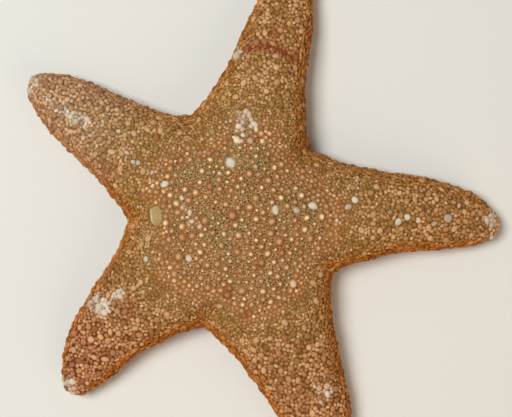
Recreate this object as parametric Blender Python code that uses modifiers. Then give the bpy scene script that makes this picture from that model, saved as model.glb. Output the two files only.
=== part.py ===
"""Dried sea star with a domed disc and five blunt arms, at its real size.

The star lies on its underside. One smooth body is made first, from a coarse cage of rings
that follow the arms, and thin cuts then part it into the disc, the mouth frame, the
madreporite and three lengths of each arm. Metres, +Z up.
"""

import math
from dataclasses import dataclass

import bmesh
import bpy
from mathutils import Matrix, Vector
from mathutils.bvhtree import BVHTree

MM = 0.001
COLLECTION = "sea_star"
CUTTER_COLLECTION = "sea_star_cutters"

# Gap left by each cut between two neighbouring pieces.
CUT_GAP = 0.3 * MM

# The cage stands a little outside the smooth surface that it makes.
CAGE_SWELL = 1.022

# Disc: heights of its top over the floor along the line to a notch and along an arm's ridge.
DISC_TOP = 27.5 * MM
DISC_RINGS = (0.91, 0.7, 0.36)
NOTCH_HEIGHTS = (14.6 * MM, 21.4 * MM, 26.0 * MM)
RIDGE_HEIGHTS = (22.6 * MM, 24.4 * MM, 26.8 * MM)
RIDGE_SOFTNESS = (0.4, 0.85, 1.0)
NOTCH_EDGE_HEIGHT = 7.6 * MM

# Underside of the disc, which stands just clear of the floor, and the mouth in its middle.
UNDER_RINGS = (0.86, 0.5)
UNDER_HEIGHT = 0.9 * MM
MOUTH_RADIUS = 4.6 * MM
MOUTH_ROOF_HEIGHT = 9.0 * MM

# Arms: where each ring of the cage crosses an arm, as a fraction of the arm's length.
ROOT = 0.4
MIDDLE = 0.5
ARM_RINGS = (0.5, 0.61, 0.72, 0.83, 0.925, 0.985)
ROOT_PULL = (0.45, 0.15)
TIP_START = 0.76
TIP_ROUNDNESS = 2.3
FLARE_LENGTH = 8.0 * MM
ROOT_RIDGE = 21.6 * MM
LATE_RIDGE = 14.4 * MM
LATE = 0.8
TIP_HEIGHT = 6.0 * MM
TIP_LIFT = 1.6 * MM
EDGE_LEVEL = 0.4
SECTION_ROUNDNESS = 2.25
TOP_STEPS = 3

# Sole and furrow of an arm's underside.
SOLE_DIP = -0.35 * MM
SOLE_PRESS = 0.3 * MM
SOLE_OUT = 0.5
LOWER_EDGE_OUT = 0.85
LOWER_EDGE_RISE = 0.1
FURROW_HALF = 2.4 * MM
FURROW_WIDEST = 0.42
FURROW_DEPTH = 3.0 * MM
LIP_RISE = 0.3 * MM
FURROW_END = 0.9

# Cuts: an arm leaves the disc just past its notches. Its other cuts are fractions of its length.
ROOT_CUT_PAST_NOTCH = 1.2 * MM
MIDDLE_CUT = 0.68
TIP_CUT = 0.925
BOX_HALF_WIDTH = 31.0 * MM
BOX_BOTTOM = -5.0 * MM
BOX_TOP = 40.0 * MM
BOX_PAST_TIP = 8.0 * MM

# Mouth frame: the ring of jaw plates round the mouth.
MOUTH_FRAME_RADIUS = 11.0 * MM
MOUTH_FRAME_HEIGHT = 5.6 * MM

# Madreporite: the sieve plate on the flank between arms c and d.
MADREPORITE_RADIUS_OUT = 27.8 * MM
MADREPORITE_BEARING = 186.2
MADREPORITE_HALF_LONG = 3.6 * MM
MADREPORITE_HALF_SHORT = 2.6 * MM
MADREPORITE_DEPTH = 1.7 * MM

# Sides of the round cuts.
MOUTH_SEGMENTS = 40
MADREPORITE_SEGMENTS = 28

# Colours of the dry skin, as linear red, green and blue.
DISC_COLOR = (0.33, 0.165, 0.06)
ARM_COLOR = (0.34, 0.165, 0.058)
TIP_COLOR = (0.42, 0.25, 0.125)
MOUTH_COLOR = (0.40, 0.24, 0.11)
MADREPORITE_COLOR = (0.46, 0.33, 0.14)
SKIN_ROUGHNESS = 0.72
MADREPORITE_ROUGHNESS = 0.6


@dataclass(frozen=True)
class Arm:
    """One arm, and the notch between it and the next arm clockwise.

    Bearings are in degrees anticlockwise from +X. The sets are sideways offsets of the arm's
    centre line, to its left, at its root, its middle and its tip.
    """

    name: str
    bearing: float
    length: float
    half_middle: float
    half_late: float
    root_set: float
    middle_set: float
    tip_set: float
    notch_radius: float
    notch_bearing: float

    @property
    def along(self):
        """Unit vector out along the arm."""
        angle = math.radians(self.bearing)
        return Vector((math.cos(angle), math.sin(angle), 0.0))

    @property
    def left(self):
        """Unit vector to the arm's left, seen from above."""
        return Vector((-self.along.y, self.along.x, 0.0))

    def centre_set(self, part):
        """Sideways offset of the centre line at a fraction of the arm's length."""
        middle = (ROOT + 1.0) / 2.0
        if part < ROOT:
            return self.root_set * part / ROOT
        root_share = (part - middle) * (part - 1.0) / ((ROOT - middle) * (ROOT - 1.0))
        middle_share = (part - ROOT) * (part - 1.0) / ((middle - ROOT) * (middle - 1.0))
        tip_share = (part - ROOT) * (part - middle) / ((1.0 - ROOT) * (1.0 - middle))
        return self.root_set * root_share + self.middle_set * middle_share + self.tip_set * tip_share

    def half_width(self, part):
        """Half the arm's width at a fraction of its length, without the flare at its root."""
        fall = (self.half_middle - self.half_late) / (LATE - MIDDLE)
        return (self.half_middle - fall * (part - MIDDLE)) * tip_rounding(part)


ARMS = (
    Arm("arm_a", -4.4, 89.5 * MM, 14.9 * MM, 11.7 * MM, 0.0 * MM, 2.6 * MM, 0.2 * MM, 39.0 * MM, -35.0),
    Arm("arm_b", -69.6, 93.0 * MM, 17.3 * MM, 12.7 * MM, -1.6 * MM, -0.3 * MM, 1.3 * MM, 43.3 * MM, -107.5),
    Arm("arm_c", -131.3, 86.6 * MM, 15.6 * MM, 11.5 * MM, -3.4 * MM, -6.0 * MM, -2.0 * MM, 38.9 * MM, 187.0),
    Arm("arm_d", 150.3, 84.2 * MM, 15.2 * MM, 11.4 * MM, 1.8 * MM, 0.2 * MM, -1.8 * MM, 35.6 * MM, 119.0),
    Arm("arm_e", 77.2, 87.0 * MM, 14.2 * MM, 10.5 * MM, 1.8 * MM, 0.4 * MM, -0.6 * MM, 31.3 * MM, 38.5),
)


# ---------------------------------------------------------------- small helpers


def blend(start, end, share):
    """Value a share of the way from start to end."""
    return start + (end - start) * share


def tip_rounding(part):
    """Narrowing towards the arm's end: 1 up to TIP_START, then a blunt quarter oval."""
    if part <= TIP_START:
        return 1.0
    share = (part - TIP_START) / (1.0 - TIP_START)
    return max(0.0, 1.0 - share**TIP_ROUNDNESS) ** (1.0 / TIP_ROUNDNESS)


def polar(radius, bearing):
    """Point in the floor plane at a radius and a bearing in degrees."""
    angle = math.radians(bearing)
    return Vector((radius * math.cos(angle), radius * math.sin(angle), 0.0))


def new_collection(name):
    """Collection linked to the scene."""
    collection = bpy.data.collections.new(name)
    bpy.context.scene.collection.children.link(collection)
    return collection


def new_material(name, color, roughness):
    """Principled material of one dry, non-metallic colour."""
    material = bpy.data.materials.new(name)
    material.use_nodes = True
    shader = material.node_tree.nodes["Principled BSDF"]
    shader.inputs["Base Color"].default_value = (*color, 1.0)
    shader.inputs["Roughness"].default_value = roughness
    shader.inputs["Metallic"].default_value = 0.0
    material.diffuse_color = (*color, 1.0)
    return material


# ---------------------------------------------------------------- cage of the body


def top_section(softness):
    """Points of a half-section's top from its edge to its ridge, as (out, up) shares.

    A softness of 0 is an arm's rounded back, and 1 is a low swell that runs on smoothly
    into its neighbours.
    """
    points = []
    for step in range(TOP_STEPS + 1):
        angle = math.pi / 2.0 * step / TOP_STEPS
        out = max(0.0, math.cos(angle)) ** (2.0 / SECTION_ROUNDNESS) if step < TOP_STEPS else 0.0
        up = math.sin(angle) ** (2.0 / SECTION_ROUNDNESS)
        swell = (1.0 + math.cos(math.pi * out)) / 2.0
        points.append((out, blend(up, swell, softness)))
    return points


def row_point(centre, right, left, out):
    """Point of a row at a signed share from its centre: negative to the right."""
    end = left if out > 0.0 else right
    return centre.lerp(end, abs(out))


def top_row(centre, right, left, edge_height, ridge_height, softness=0.0):
    """Points over the top of a row, from its right edge to its left edge."""
    half = top_section(softness)
    signed = [(-out, up) for out, up in half] + [(out, up) for out, up in reversed(half[:-1])]
    row = []
    for out, up in signed:
        point = row_point(centre, right, left, out)
        point.z = blend(edge_height, ridge_height, up)
        row.append(point)
    return row


def under_row(centre, right, left, edge_height, base, furrow):
    """Nine points under a row, from its right edge to its left edge.

    The furrow is a groove along the middle. base is the height of the sole, and furrow is
    the groove's share of its full depth.
    """
    row = []
    for side, end in ((-1.0, right), (1.0, left)):
        reach = (end - centre).length
        lip = min(FURROW_HALF / reach, FURROW_WIDEST)
        sole = blend(lip, LOWER_EDGE_OUT, SOLE_OUT)
        heights = (
            (1.0, edge_height),
            (LOWER_EDGE_OUT, blend(base, edge_height, LOWER_EDGE_RISE)),
            (sole, base + SOLE_DIP),
            (lip, base + LIP_RISE),
        )
        half = []
        for out, height in heights:
            point = row_point(centre, right, left, side * out)
            point.z = height
            half.append(point)
        row.append(half)
    groove = centre.copy()
    groove.z = base + FURROW_DEPTH * furrow
    return row[0] + [groove] + row[1][::-1]


def root_line(arm, right_notch, left_notch):
    """Centre, right end and left end of the row where the arm leaves the disc."""
    centre = arm.along * (ROOT * arm.length) + arm.left * arm.centre_set(ROOT)
    return centre, right_notch, left_notch


def arm_line(arm, part, pull, right_notch, left_notch):
    """Centre, right end and left end of a row across the arm."""
    reach = part * arm.length
    middle = arm.centre_set(part)
    centre = arm.along * reach + arm.left * middle
    ends = []
    for side, notch in ((-1.0, right_notch), (1.0, left_notch)):
        notch_reach = notch.dot(arm.along)
        notch_side = abs(notch.dot(arm.left) - middle)
        end_reach = reach - pull * (ROOT * arm.length - notch_reach)
        spare = notch_side - arm.half_width(notch_reach / arm.length)
        flare = max(0.0, spare) * math.exp(-(end_reach - notch_reach) / FLARE_LENGTH)
        half = arm.half_width(part) * CAGE_SWELL + flare
        ends.append(arm.along * end_reach + arm.left * (middle + side * half))
    return centre, ends[0], ends[1]


def arm_heights(part):
    """Heights of the sole, the edge and the ridge at a fraction of the arm's length."""
    slope = (ROOT_RIDGE - LATE_RIDGE) / (LATE - ROOT)
    ridge = ROOT_RIDGE - slope * (part - ROOT)
    lift = max(0.0, (part - TIP_START) / (1.0 - TIP_START)) ** 2
    base = TIP_LIFT * lift
    closing = tip_rounding(part)
    base = blend(TIP_HEIGHT, base, closing)
    ridge = blend(TIP_HEIGHT, ridge * CAGE_SWELL, closing)
    return base, blend(base, ridge, EDGE_LEVEL), ridge


def arm_rows(arm, right_notch, left_notch):
    """Closed rings of the cage along the arm, after the root's."""
    rings = []
    for index, part in enumerate(ARM_RINGS):
        pull = ROOT_PULL[index] if index < len(ROOT_PULL) else 0.0
        line = arm_line(arm, part, pull, right_notch, left_notch)
        base, edge, ridge = arm_heights(part)
        top = top_row(*line, edge, ridge)
        furrow = min(1.0, max(0.0, (1.0 - part) / (1.0 - FURROW_END)))
        under = under_row(*line, edge, base, furrow)
        rings.append(top + under[-2:0:-1])
    return rings


def add_strip(mesh, first, second):
    """Quads between two rows of equal length."""
    for index in range(len(first) - 1):
        mesh.faces.new((first[index], second[index], second[index + 1], first[index + 1]))


def add_ring(mesh, first, second):
    """Quads between two closed rings."""
    add_strip(mesh, first + first[:1], second + second[:1])


def add_points(mesh, points):
    """Vertices at the points."""
    return [mesh.verts.new(point) for point in points]


def joined(rows):
    """One closed ring from the arms' rows, whose ends meet at the notches."""
    ring = []
    for row in rows:
        ring += row[:-1]
    return ring


def cage_sectors():
    """Each arm with the notch points on its right and on its left, going anticlockwise."""
    notches = [polar(arm.notch_radius, arm.notch_bearing) for arm in ARMS]
    sectors = [(arm, notches[index], notches[index - 1]) for index, arm in enumerate(ARMS)]
    return sectors[::-1]


def root_rings(mesh, sectors):
    """Top and under rows where the arms leave the disc. They share the notch points."""
    edges = []
    for _, right_notch, _ in sectors:
        point = right_notch.copy()
        point.z = NOTCH_EDGE_HEIGHT
        edges.append(mesh.verts.new(point))
    tops = []
    unders = []
    for index, (arm, right_notch, left_notch) in enumerate(sectors):
        line = root_line(arm, right_notch, left_notch)
        first = edges[index]
        last = edges[(index + 1) % len(edges)]
        top = top_row(*line, NOTCH_EDGE_HEIGHT, ROOT_RIDGE * CAGE_SWELL)
        tops.append([first] + add_points(mesh, top[1:-1]) + [last])
        under = under_row(*line, NOTCH_EDGE_HEIGHT, 0.0, 1.0)
        unders.append([first] + add_points(mesh, under[1:-1]) + [last])
    return tops, unders


def drawn_in(sector, share):
    """Centre, right end and left end of a root row drawn in to a share of its radius."""
    return [point * share for point in root_line(*sector)]


def close_top(mesh, outer, sectors):
    """Domed top of the disc, inside the arms' root rows."""
    for share, *section in zip(DISC_RINGS, NOTCH_HEIGHTS, RIDGE_HEIGHTS, RIDGE_SOFTNESS):
        points = []
        for sector in sectors:
            points += top_row(*drawn_in(sector, share), *section)[:-1]
        inner = add_points(mesh, points)
        add_ring(mesh, outer, inner)
        outer = inner
    peak = mesh.verts.new((0.0, 0.0, DISC_TOP * CAGE_SWELL))
    for index, vertex in enumerate(outer):
        mesh.faces.new((vertex, peak, outer[(index + 1) % len(outer)]))


def close_under(mesh, outer, sectors):
    """Underside of the disc, inside the arms' root rows, down to the roof of the mouth."""
    for share in UNDER_RINGS:
        points = []
        for sector in sectors:
            points += under_row(*drawn_in(sector, share), UNDER_HEIGHT, UNDER_HEIGHT, 1.0)[:-1]
        inner = add_points(mesh, points)
        add_ring(mesh, inner, outer)
        outer = inner
    lips = []
    for vertex in outer[::2]:
        lip = Vector((vertex.co.x, vertex.co.y, 0.0)).normalized() * MOUTH_RADIUS
        lip.z = vertex.co.z
        lips.append(mesh.verts.new(lip))
    roof = mesh.verts.new((0.0, 0.0, MOUTH_ROOF_HEIGHT))
    for index, lip in enumerate(lips):
        following = lips[(index + 1) % len(lips)]
        near = 2 * index
        mesh.faces.new((lip, following, outer[(near + 2) % len(outer)], outer[near + 1], outer[near]))
        mesh.faces.new((following, lip, roof))


def close_arm(mesh, sector, top, under):
    """One arm, from the disc's root rows to a point at its tip."""
    arm, right_notch, left_notch = sector
    outer = top + under[-2:0:-1]
    for points in arm_rows(arm, right_notch, left_notch):
        inner = add_points(mesh, points)
        add_ring(mesh, inner, outer)
        outer = inner
    tip = arm.along * arm.length + arm.left * arm.centre_set(1.0)
    tip.z = TIP_HEIGHT
    peak = mesh.verts.new(tip)
    for index, vertex in enumerate(outer):
        mesh.faces.new((outer[(index + 1) % len(outer)], peak, vertex))


def body_cage():
    """Coarse closed cage of the whole star."""
    mesh = bmesh.new()
    sectors = cage_sectors()
    tops, unders = root_rings(mesh, sectors)
    close_top(mesh, joined(tops), sectors)
    close_under(mesh, joined(unders), sectors)
    for sector, top, under in zip(sectors, tops, unders):
        close_arm(mesh, sector, top, under)
    bmesh.ops.recalc_face_normals(mesh, faces=mesh.faces)
    data = bpy.data.meshes.new("body_cage")
    mesh.to_mesh(data)
    mesh.free()
    return data


def smooth_body():
    """Smooth body from the cage, with its soles pressed flat on the floor."""
    guide = bpy.data.objects.new("body_cage", body_cage())
    bpy.context.scene.collection.objects.link(guide)
    smoothing = guide.modifiers.new("smooth", "SUBSURF")
    smoothing.levels = 1
    smoothing.render_levels = 1
    graph = bpy.context.evaluated_depsgraph_get()
    body = bpy.data.meshes.new_from_object(guide.evaluated_get(graph))
    bpy.data.objects.remove(guide)
    for vertex in body.vertices:
        if vertex.co.z < SOLE_PRESS:
            vertex.co.z = 0.0
    body.name = "body"
    return body


# ---------------------------------------------------------------- pieces and cutters


@dataclass(frozen=True)
class Context:
    """What every piece and cutter is linked to."""

    centre: bpy.types.Object
    pieces: bpy.types.Collection
    cutters: bpy.types.Collection


def centred_empty(body):
    """Empty that sets the star's box over the origin. Every piece and cutter is parented to it."""
    lows = [min(vertex.co[axis] for vertex in body.vertices) for axis in range(2)]
    highs = [max(vertex.co[axis] for vertex in body.vertices) for axis in range(2)]
    empty = bpy.data.objects.new("sea_star_centre", None)
    empty.location = (-(lows[0] + highs[0]) / 2.0, -(lows[1] + highs[1]) / 2.0, 0.0)
    return empty


def add_cutter(context, name, mesh, place):
    """Cutter object with its own mesh, put in its place."""
    data = bpy.data.meshes.new(name)
    mesh.to_mesh(data)
    mesh.free()
    cutter = bpy.data.objects.new(name, data)
    cutter.matrix_local = place
    cutter.parent = context.centre
    cutter.hide_render = True
    cutter.display_type = "WIRE"
    context.cutters.objects.link(cutter)
    return cutter


def arm_box(context, name, arm, start, end):
    """Box round an arm between two distances from the disc's centre."""
    mesh = bmesh.new()
    bmesh.ops.create_cube(mesh, size=1.0)
    size = (end - start, 2.0 * BOX_HALF_WIDTH, BOX_TOP - BOX_BOTTOM)
    bmesh.ops.scale(mesh, vec=size, verts=mesh.verts)
    middle = arm.along * ((start + end) / 2.0)
    middle.z = (BOX_TOP + BOX_BOTTOM) / 2.0
    place = Matrix.Translation(middle) @ Matrix.Rotation(math.radians(arm.bearing), 4, "Z")
    return add_cutter(context, name, mesh, place)


def upright_drum(context, name, radius, top):
    """Round cutter over the mouth, from below the floor up to a height."""
    mesh = bmesh.new()
    depth = top - BOX_BOTTOM
    bmesh.ops.create_cone(
        mesh, cap_ends=True, segments=MOUTH_SEGMENTS, radius1=radius, radius2=radius, depth=depth
    )
    return add_cutter(context, name, mesh, Matrix.Translation((0.0, 0.0, BOX_BOTTOM + depth / 2.0)))


def madreporite_place(body):
    """Place of the sieve plate: on the disc's flank, with Z along the flank's normal."""
    skin = bmesh.new()
    skin.from_mesh(body)
    tree = BVHTree.FromBMesh(skin)
    skin.free()
    over = polar(MADREPORITE_RADIUS_OUT, MADREPORITE_BEARING)
    over.z = BOX_TOP
    point, normal, _, _ = tree.ray_cast(over, Vector((0.0, 0.0, -1.0)))
    level = Vector((-normal.y, normal.x, 0.0)).normalized()
    slope = normal.cross(level)
    turn = Matrix((level, slope, normal)).transposed().to_4x4()
    return Matrix.Translation(point) @ turn


def oval_drum(context, name, place, spare):
    """Oval cutter sunk into the flank at the madreporite, wider and deeper by spare."""
    mesh = bmesh.new()
    depth = 2.0 * (MADREPORITE_DEPTH + spare)
    bmesh.ops.create_cone(
        mesh, cap_ends=True, segments=MADREPORITE_SEGMENTS, radius1=1.0, radius2=1.0, depth=depth
    )
    size = (MADREPORITE_HALF_LONG + spare, MADREPORITE_HALF_SHORT + spare, 1.0)
    bmesh.ops.scale(mesh, vec=size, verts=mesh.verts)
    return add_cutter(context, name, mesh, place)


def add_piece(context, name, body, material, kept=(), removed=()):
    """Piece of the body: what lies inside the kept cutters and outside the removed ones."""
    data = body.copy()
    data.name = name
    data.materials.append(material)
    piece = bpy.data.objects.new(name, data)
    piece.parent = context.centre
    context.pieces.objects.link(piece)
    for operation, cutters in (("INTERSECT", kept), ("DIFFERENCE", removed)):
        for cutter in cutters:
            cut = piece.modifiers.new(cutter.name, "BOOLEAN")
            cut.operation = operation
            cut.object = cutter
    return piece


def root_cut(arm, index):
    """Distance from the disc's centre to the cut at an arm's root, just past both its notches."""
    notches = (arm, ARMS[index - 1])
    reaches = [polar(item.notch_radius, item.notch_bearing).dot(arm.along) for item in notches]
    return max(reaches) + ROOT_CUT_PAST_NOTCH


def add_arm(context, body, arm, start):
    """Three lengths of one arm. Returns the cutter that takes the whole arm off the disc."""
    middle = MIDDLE_CUT * arm.length
    tip = TIP_CUT * arm.length
    end = arm.length + BOX_PAST_TIP
    gap = CUT_GAP / 2.0
    spans = (
        ("inner", start + gap, middle - gap, ARM_COLOR),
        ("outer", middle + gap, tip - gap, ARM_COLOR),
        ("tip", tip + gap, end, TIP_COLOR),
    )
    for length_name, low, high, color in spans:
        name = f"{arm.name}_{length_name}"
        cutter = arm_box(context, f"{name}_box", arm, low, high)
        material = new_material(name, color, SKIN_ROUGHNESS)
        add_piece(context, name, body, material, kept=(cutter,))
    return arm_box(context, f"{arm.name}_whole_box", arm, start - gap, end)


def add_disc(context, body, arm_cutters):
    """Disc, with the mouth frame set in its underside and the madreporite in its flank."""
    frame_cutter = upright_drum(context, "mouth_frame_drum", MOUTH_FRAME_RADIUS, MOUTH_FRAME_HEIGHT)
    frame_pocket = upright_drum(
        context, "mouth_frame_pocket", MOUTH_FRAME_RADIUS + CUT_GAP, MOUTH_FRAME_HEIGHT + CUT_GAP
    )
    place = madreporite_place(body)
    plate_cutter = oval_drum(context, "madreporite_drum", place, 0.0)
    plate_pocket = oval_drum(context, "madreporite_pocket", place, CUT_GAP)
    pockets = (*arm_cutters, frame_pocket, plate_pocket)
    disc_material = new_material("disc", DISC_COLOR, SKIN_ROUGHNESS)
    frame_material = new_material("mouth_frame", MOUTH_COLOR, SKIN_ROUGHNESS)
    plate_material = new_material("madreporite", MADREPORITE_COLOR, MADREPORITE_ROUGHNESS)
    add_piece(context, "disc", body, disc_material, removed=pockets)
    add_piece(context, "mouth_frame", body, frame_material, kept=(frame_cutter,))
    add_piece(context, "madreporite", body, plate_material, kept=(plate_cutter,))


def main():
    """Build the whole star."""
    for item in list(bpy.data.objects):
        bpy.data.objects.remove(item)
    body = smooth_body()
    context = Context(centred_empty(body), new_collection(COLLECTION), new_collection(CUTTER_COLLECTION))
    context.pieces.objects.link(context.centre)
    arm_cutters = [add_arm(context, body, arm, root_cut(arm, index)) for index, arm in enumerate(ARMS)]
    add_disc(context, body, arm_cutters)


main()
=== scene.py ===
"""Looks of a dried sea star: one skin over the whole body, and its coat of tubercles and grains.

The skin is drawn in under the body's solids by the depth of the coat. Sites for the coat are
scattered over the skin and pushed apart until they pack like real plates, and Geometry Nodes
set a small turned shape on each site. Skin and coat share one set of surface markings.
"""

import logging
import math
from collections.abc import Callable
from dataclasses import dataclass, field, replace
from enum import Enum
from itertools import product, zip_longest

import bmesh
import bpy
import numpy as np
from bpy.types import Material, Mesh, Node, NodeSocket, NodeTree, Object
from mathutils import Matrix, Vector
from mathutils.bvhtree import BVHTree
from mathutils.kdtree import KDTree


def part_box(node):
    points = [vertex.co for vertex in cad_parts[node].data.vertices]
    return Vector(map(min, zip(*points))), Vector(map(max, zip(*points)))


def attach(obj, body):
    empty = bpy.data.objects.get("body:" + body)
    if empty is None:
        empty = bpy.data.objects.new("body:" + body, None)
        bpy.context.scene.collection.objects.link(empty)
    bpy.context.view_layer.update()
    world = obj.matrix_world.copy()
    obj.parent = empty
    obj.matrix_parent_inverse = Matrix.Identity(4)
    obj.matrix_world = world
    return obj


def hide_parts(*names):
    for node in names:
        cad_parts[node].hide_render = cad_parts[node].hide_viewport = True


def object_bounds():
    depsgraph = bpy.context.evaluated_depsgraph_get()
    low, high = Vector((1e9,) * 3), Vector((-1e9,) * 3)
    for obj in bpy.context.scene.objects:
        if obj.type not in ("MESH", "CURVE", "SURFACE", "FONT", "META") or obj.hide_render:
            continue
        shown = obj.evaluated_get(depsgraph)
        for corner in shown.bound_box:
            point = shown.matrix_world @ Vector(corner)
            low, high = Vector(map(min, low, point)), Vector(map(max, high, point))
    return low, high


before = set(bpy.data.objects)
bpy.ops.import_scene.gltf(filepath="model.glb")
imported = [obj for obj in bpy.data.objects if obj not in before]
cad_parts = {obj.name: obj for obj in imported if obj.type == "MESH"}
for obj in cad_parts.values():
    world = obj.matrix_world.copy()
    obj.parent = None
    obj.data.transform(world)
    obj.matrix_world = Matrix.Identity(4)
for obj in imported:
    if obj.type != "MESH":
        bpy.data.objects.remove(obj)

LOG = logging.getLogger("sea_star")
CAD_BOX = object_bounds()
CAD_LOW, CAD_HIGH = (np.array(corner) for corner in CAD_BOX)

MM = 0.001
BODY = "root"
ARM_LETTERS = "abcde"
ARM_LENGTHS = ("inner", "outer", "tip")
MOST_TRIANGLES = 190_000
BAKE_MAP = "OFBake"
BAKE_PATCH = 0.003
BOX_MARGIN = 0.02 * MM
UP = np.array((0.0, 0.0, 1.0))
SQUARE = ((-1.0, -1.0), (1.0, -1.0), (1.0, 1.0), (-1.0, 1.0))

Array = np.ndarray
Rgba = tuple[float, float, float, float]
Triple = tuple[float, float, float]
Pair = tuple[float, float]
Surface = tuple[NodeSocket, NodeSocket, NodeSocket]


class Kind(Enum):
    """Sorts of pieces in the coat, in the order in which they take their place."""

    KNOB = 0
    BEAD = 1
    LUMP = 2
    GRAIN = 3
    SOLE = 4


# ---- small helpers


def smoothstep(value: Array, low: float, high: float) -> Array:
    """Smooth rise from 0 at low to 1 at high. It falls where high is below low."""
    share = np.clip((value - low) / (high - low), 0.0, 1.0)
    return share * share * (3.0 - 2.0 * share)


def mix(start: Array, end: Array, share: Array) -> Array:
    """Value a share of the way from start to end."""
    return start + (end - start) * share


def unit(vectors: Array) -> Array:
    """Rows of three, each scaled to length 1."""
    lengths = np.linalg.norm(vectors, axis=1, keepdims=True)
    return vectors / np.maximum(lengths, 1e-12)


def summed(places: Array, rows: Array, count: int) -> Array:
    """Sum, for each of a number of places, of the rows of three that belong to it."""
    return np.column_stack([np.bincount(places, column, count) for column in rows.T])


def linear(*display: int) -> Rgba:
    """Linear red, green, blue and an alpha of 1 from display values of 0 to 255."""
    shares = (value / 255.0 for value in display)
    return (*(part / 12.92 if part <= 0.04045 else ((part + 0.055) / 1.055) ** 2.4 for part in shares), 1.0)


def new_object(name: str, data: bpy.types.ID) -> Object:
    """Object linked to the scene.

    Args:
        name: Name of the object.
        data: Its mesh, light or camera.

    Returns:
        The object, at the origin.
    """
    item = bpy.data.objects.new(name, data)
    bpy.context.scene.collection.objects.link(item)
    return item


def evaluated_mesh(item: Object) -> Mesh:
    """Plain mesh of an object with its modifiers carried out.

    Args:
        item: Object to read.

    Returns:
        A new mesh of its own.
    """
    graph = bpy.context.evaluated_depsgraph_get()
    graph.update()
    return bpy.data.meshes.new_from_object(item.evaluated_get(graph))


def read(items: bpy.types.bpy_prop_collection, name: str, width: int, kind: type = float) -> Array:
    """Values of a property of a mesh's vertices, edges, corners or faces.

    Args:
        items: Collection to read.
        name: Name of the property.
        width: How many numbers each value has.
        kind: Type of the numbers.

    Returns:
        A row for each item, or a number where the width is 1.
    """
    values = np.empty(len(items) * width, dtype=kind)
    items.foreach_get(name, values)
    return values if width == 1 else values.reshape(-1, width)


def vertex_array(mesh: Mesh) -> Array:
    """Vertex positions of a mesh as rows of three."""
    return read(mesh.vertices, "co", 3)


def put_attribute(mesh: Mesh, name: str, values: Array) -> None:
    """Store a number or a row of three for each vertex of a mesh."""
    kind, part = ("FLOAT", "value") if values.ndim == 1 else ("FLOAT_VECTOR", "vector")
    mesh.attributes.new(name, kind, "POINT").data.foreach_set(part, values.astype(np.float32).ravel())


def put_bake_map(mesh: Mesh, flat: Array) -> None:
    """Give a mesh the map that its material is baked through, from a row of two for each vertex."""
    corners = read(mesh.loops, "vertex_index", 1, int)
    mesh.uv_layers.new(name=BAKE_MAP).uv.foreach_set("vector", flat[corners].astype(np.float32).ravel())


def search_tree(points: Array) -> KDTree:
    """Search tree of some points.

    Args:
        points: Rows of three.

    Returns:
        The tree, ready to be searched.
    """
    tree = KDTree(len(points))
    for index, point in enumerate(points.tolist()):
        tree.insert(point, index)
    tree.balance()
    return tree


# ---- plan of the star


@dataclass(frozen=True)
class Overhead:
    """Point over the star where the camera stands, and from which its markings are sighted.

    A sighted place is where the line from this point through a mark meets the level of the
    star's edge. right and up are measured from the disc's centre.
    """

    right: float = 5.4 * MM
    up: float = -0.5 * MM
    level: float = 8.0 * MM
    height: float = 350.0 * MM

    def point(self, centre: Array) -> Array:
        """The point itself, from the disc's centre in plan."""
        return np.array((centre[0] + self.right, centre[1] + self.up, self.level + self.height))

    def sighted(self, points: Array, centre: Array) -> Array:
        """Sighted places of some points, in rows of two from the disc's centre."""
        eye = self.point(centre)
        return eye[:2] + (points[:, :2] - eye[:2]) * (self.height / (eye[2] - points[:, 2]))[:, None] - centre


OVERHEAD = Overhead()


@dataclass
class Where:
    """Where points lie on the star, one entry for each point.

    along is the distance out along the nearest arm, across the signed distance from that arm's
    centre line, part the share of the arm's length, radius the distance from the disc's centre
    in plan, pores the distance from the middle of the porous ground, height the height over the
    floor, sighted the sighted place, and up and north the shares of the surface's normal along Z
    and Y.
    """

    arm: Array
    along: Array
    across: Array
    part: Array
    radius: Array
    pores: Array
    height: Array
    sighted: Array
    up: Array
    north: Array


@dataclass
class ArmPlan:
    """Plan of one arm, measured from its solids."""

    name: str
    centre: Array
    slice_width: float = 4.0 * MM
    root: float = 36.0 * MM

    def __post_init__(self) -> None:
        """Measure the arm's direction, length and bend from its three solids."""
        solids = [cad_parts[f"{self.name}_{length}"].data for length in ARM_LENGTHS]
        points = np.concatenate([vertex_array(mesh) for mesh in solids])[:, :2] - self.centre
        farthest = points[np.linalg.norm(points, axis=1).argmax()]
        self.length = float(np.linalg.norm(farthest))
        self.direction = farthest / self.length
        self.left = np.array((-self.direction[1], self.direction[0]))
        along = points @ self.direction
        across = points @ self.left
        stations, middles = [], []
        for start in np.arange(self.root, self.length - self.slice_width, self.slice_width / 2.0):
            inside = (along >= start) & (along < start + self.slice_width)
            if inside.any():
                stations.append(start + self.slice_width / 2.0)
                middles.append((across[inside].min() + across[inside].max()) / 2.0)
        self.bend = np.polyfit(stations, middles, 2)

    def middle(self, along: Array) -> Array:
        """Sideways place of the centre line at distances along the arm."""
        bent = np.polyval(self.bend, np.maximum(along, self.root))
        return bent * np.clip(along / self.root, 0.0, 1.0)

    def point(self, along: float, across: float) -> Array:
        """Plan point at a distance along the arm and a distance left of its centre line."""
        side = across + float(self.middle(np.array(along)))
        return self.centre + self.direction * along + self.left * side


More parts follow.
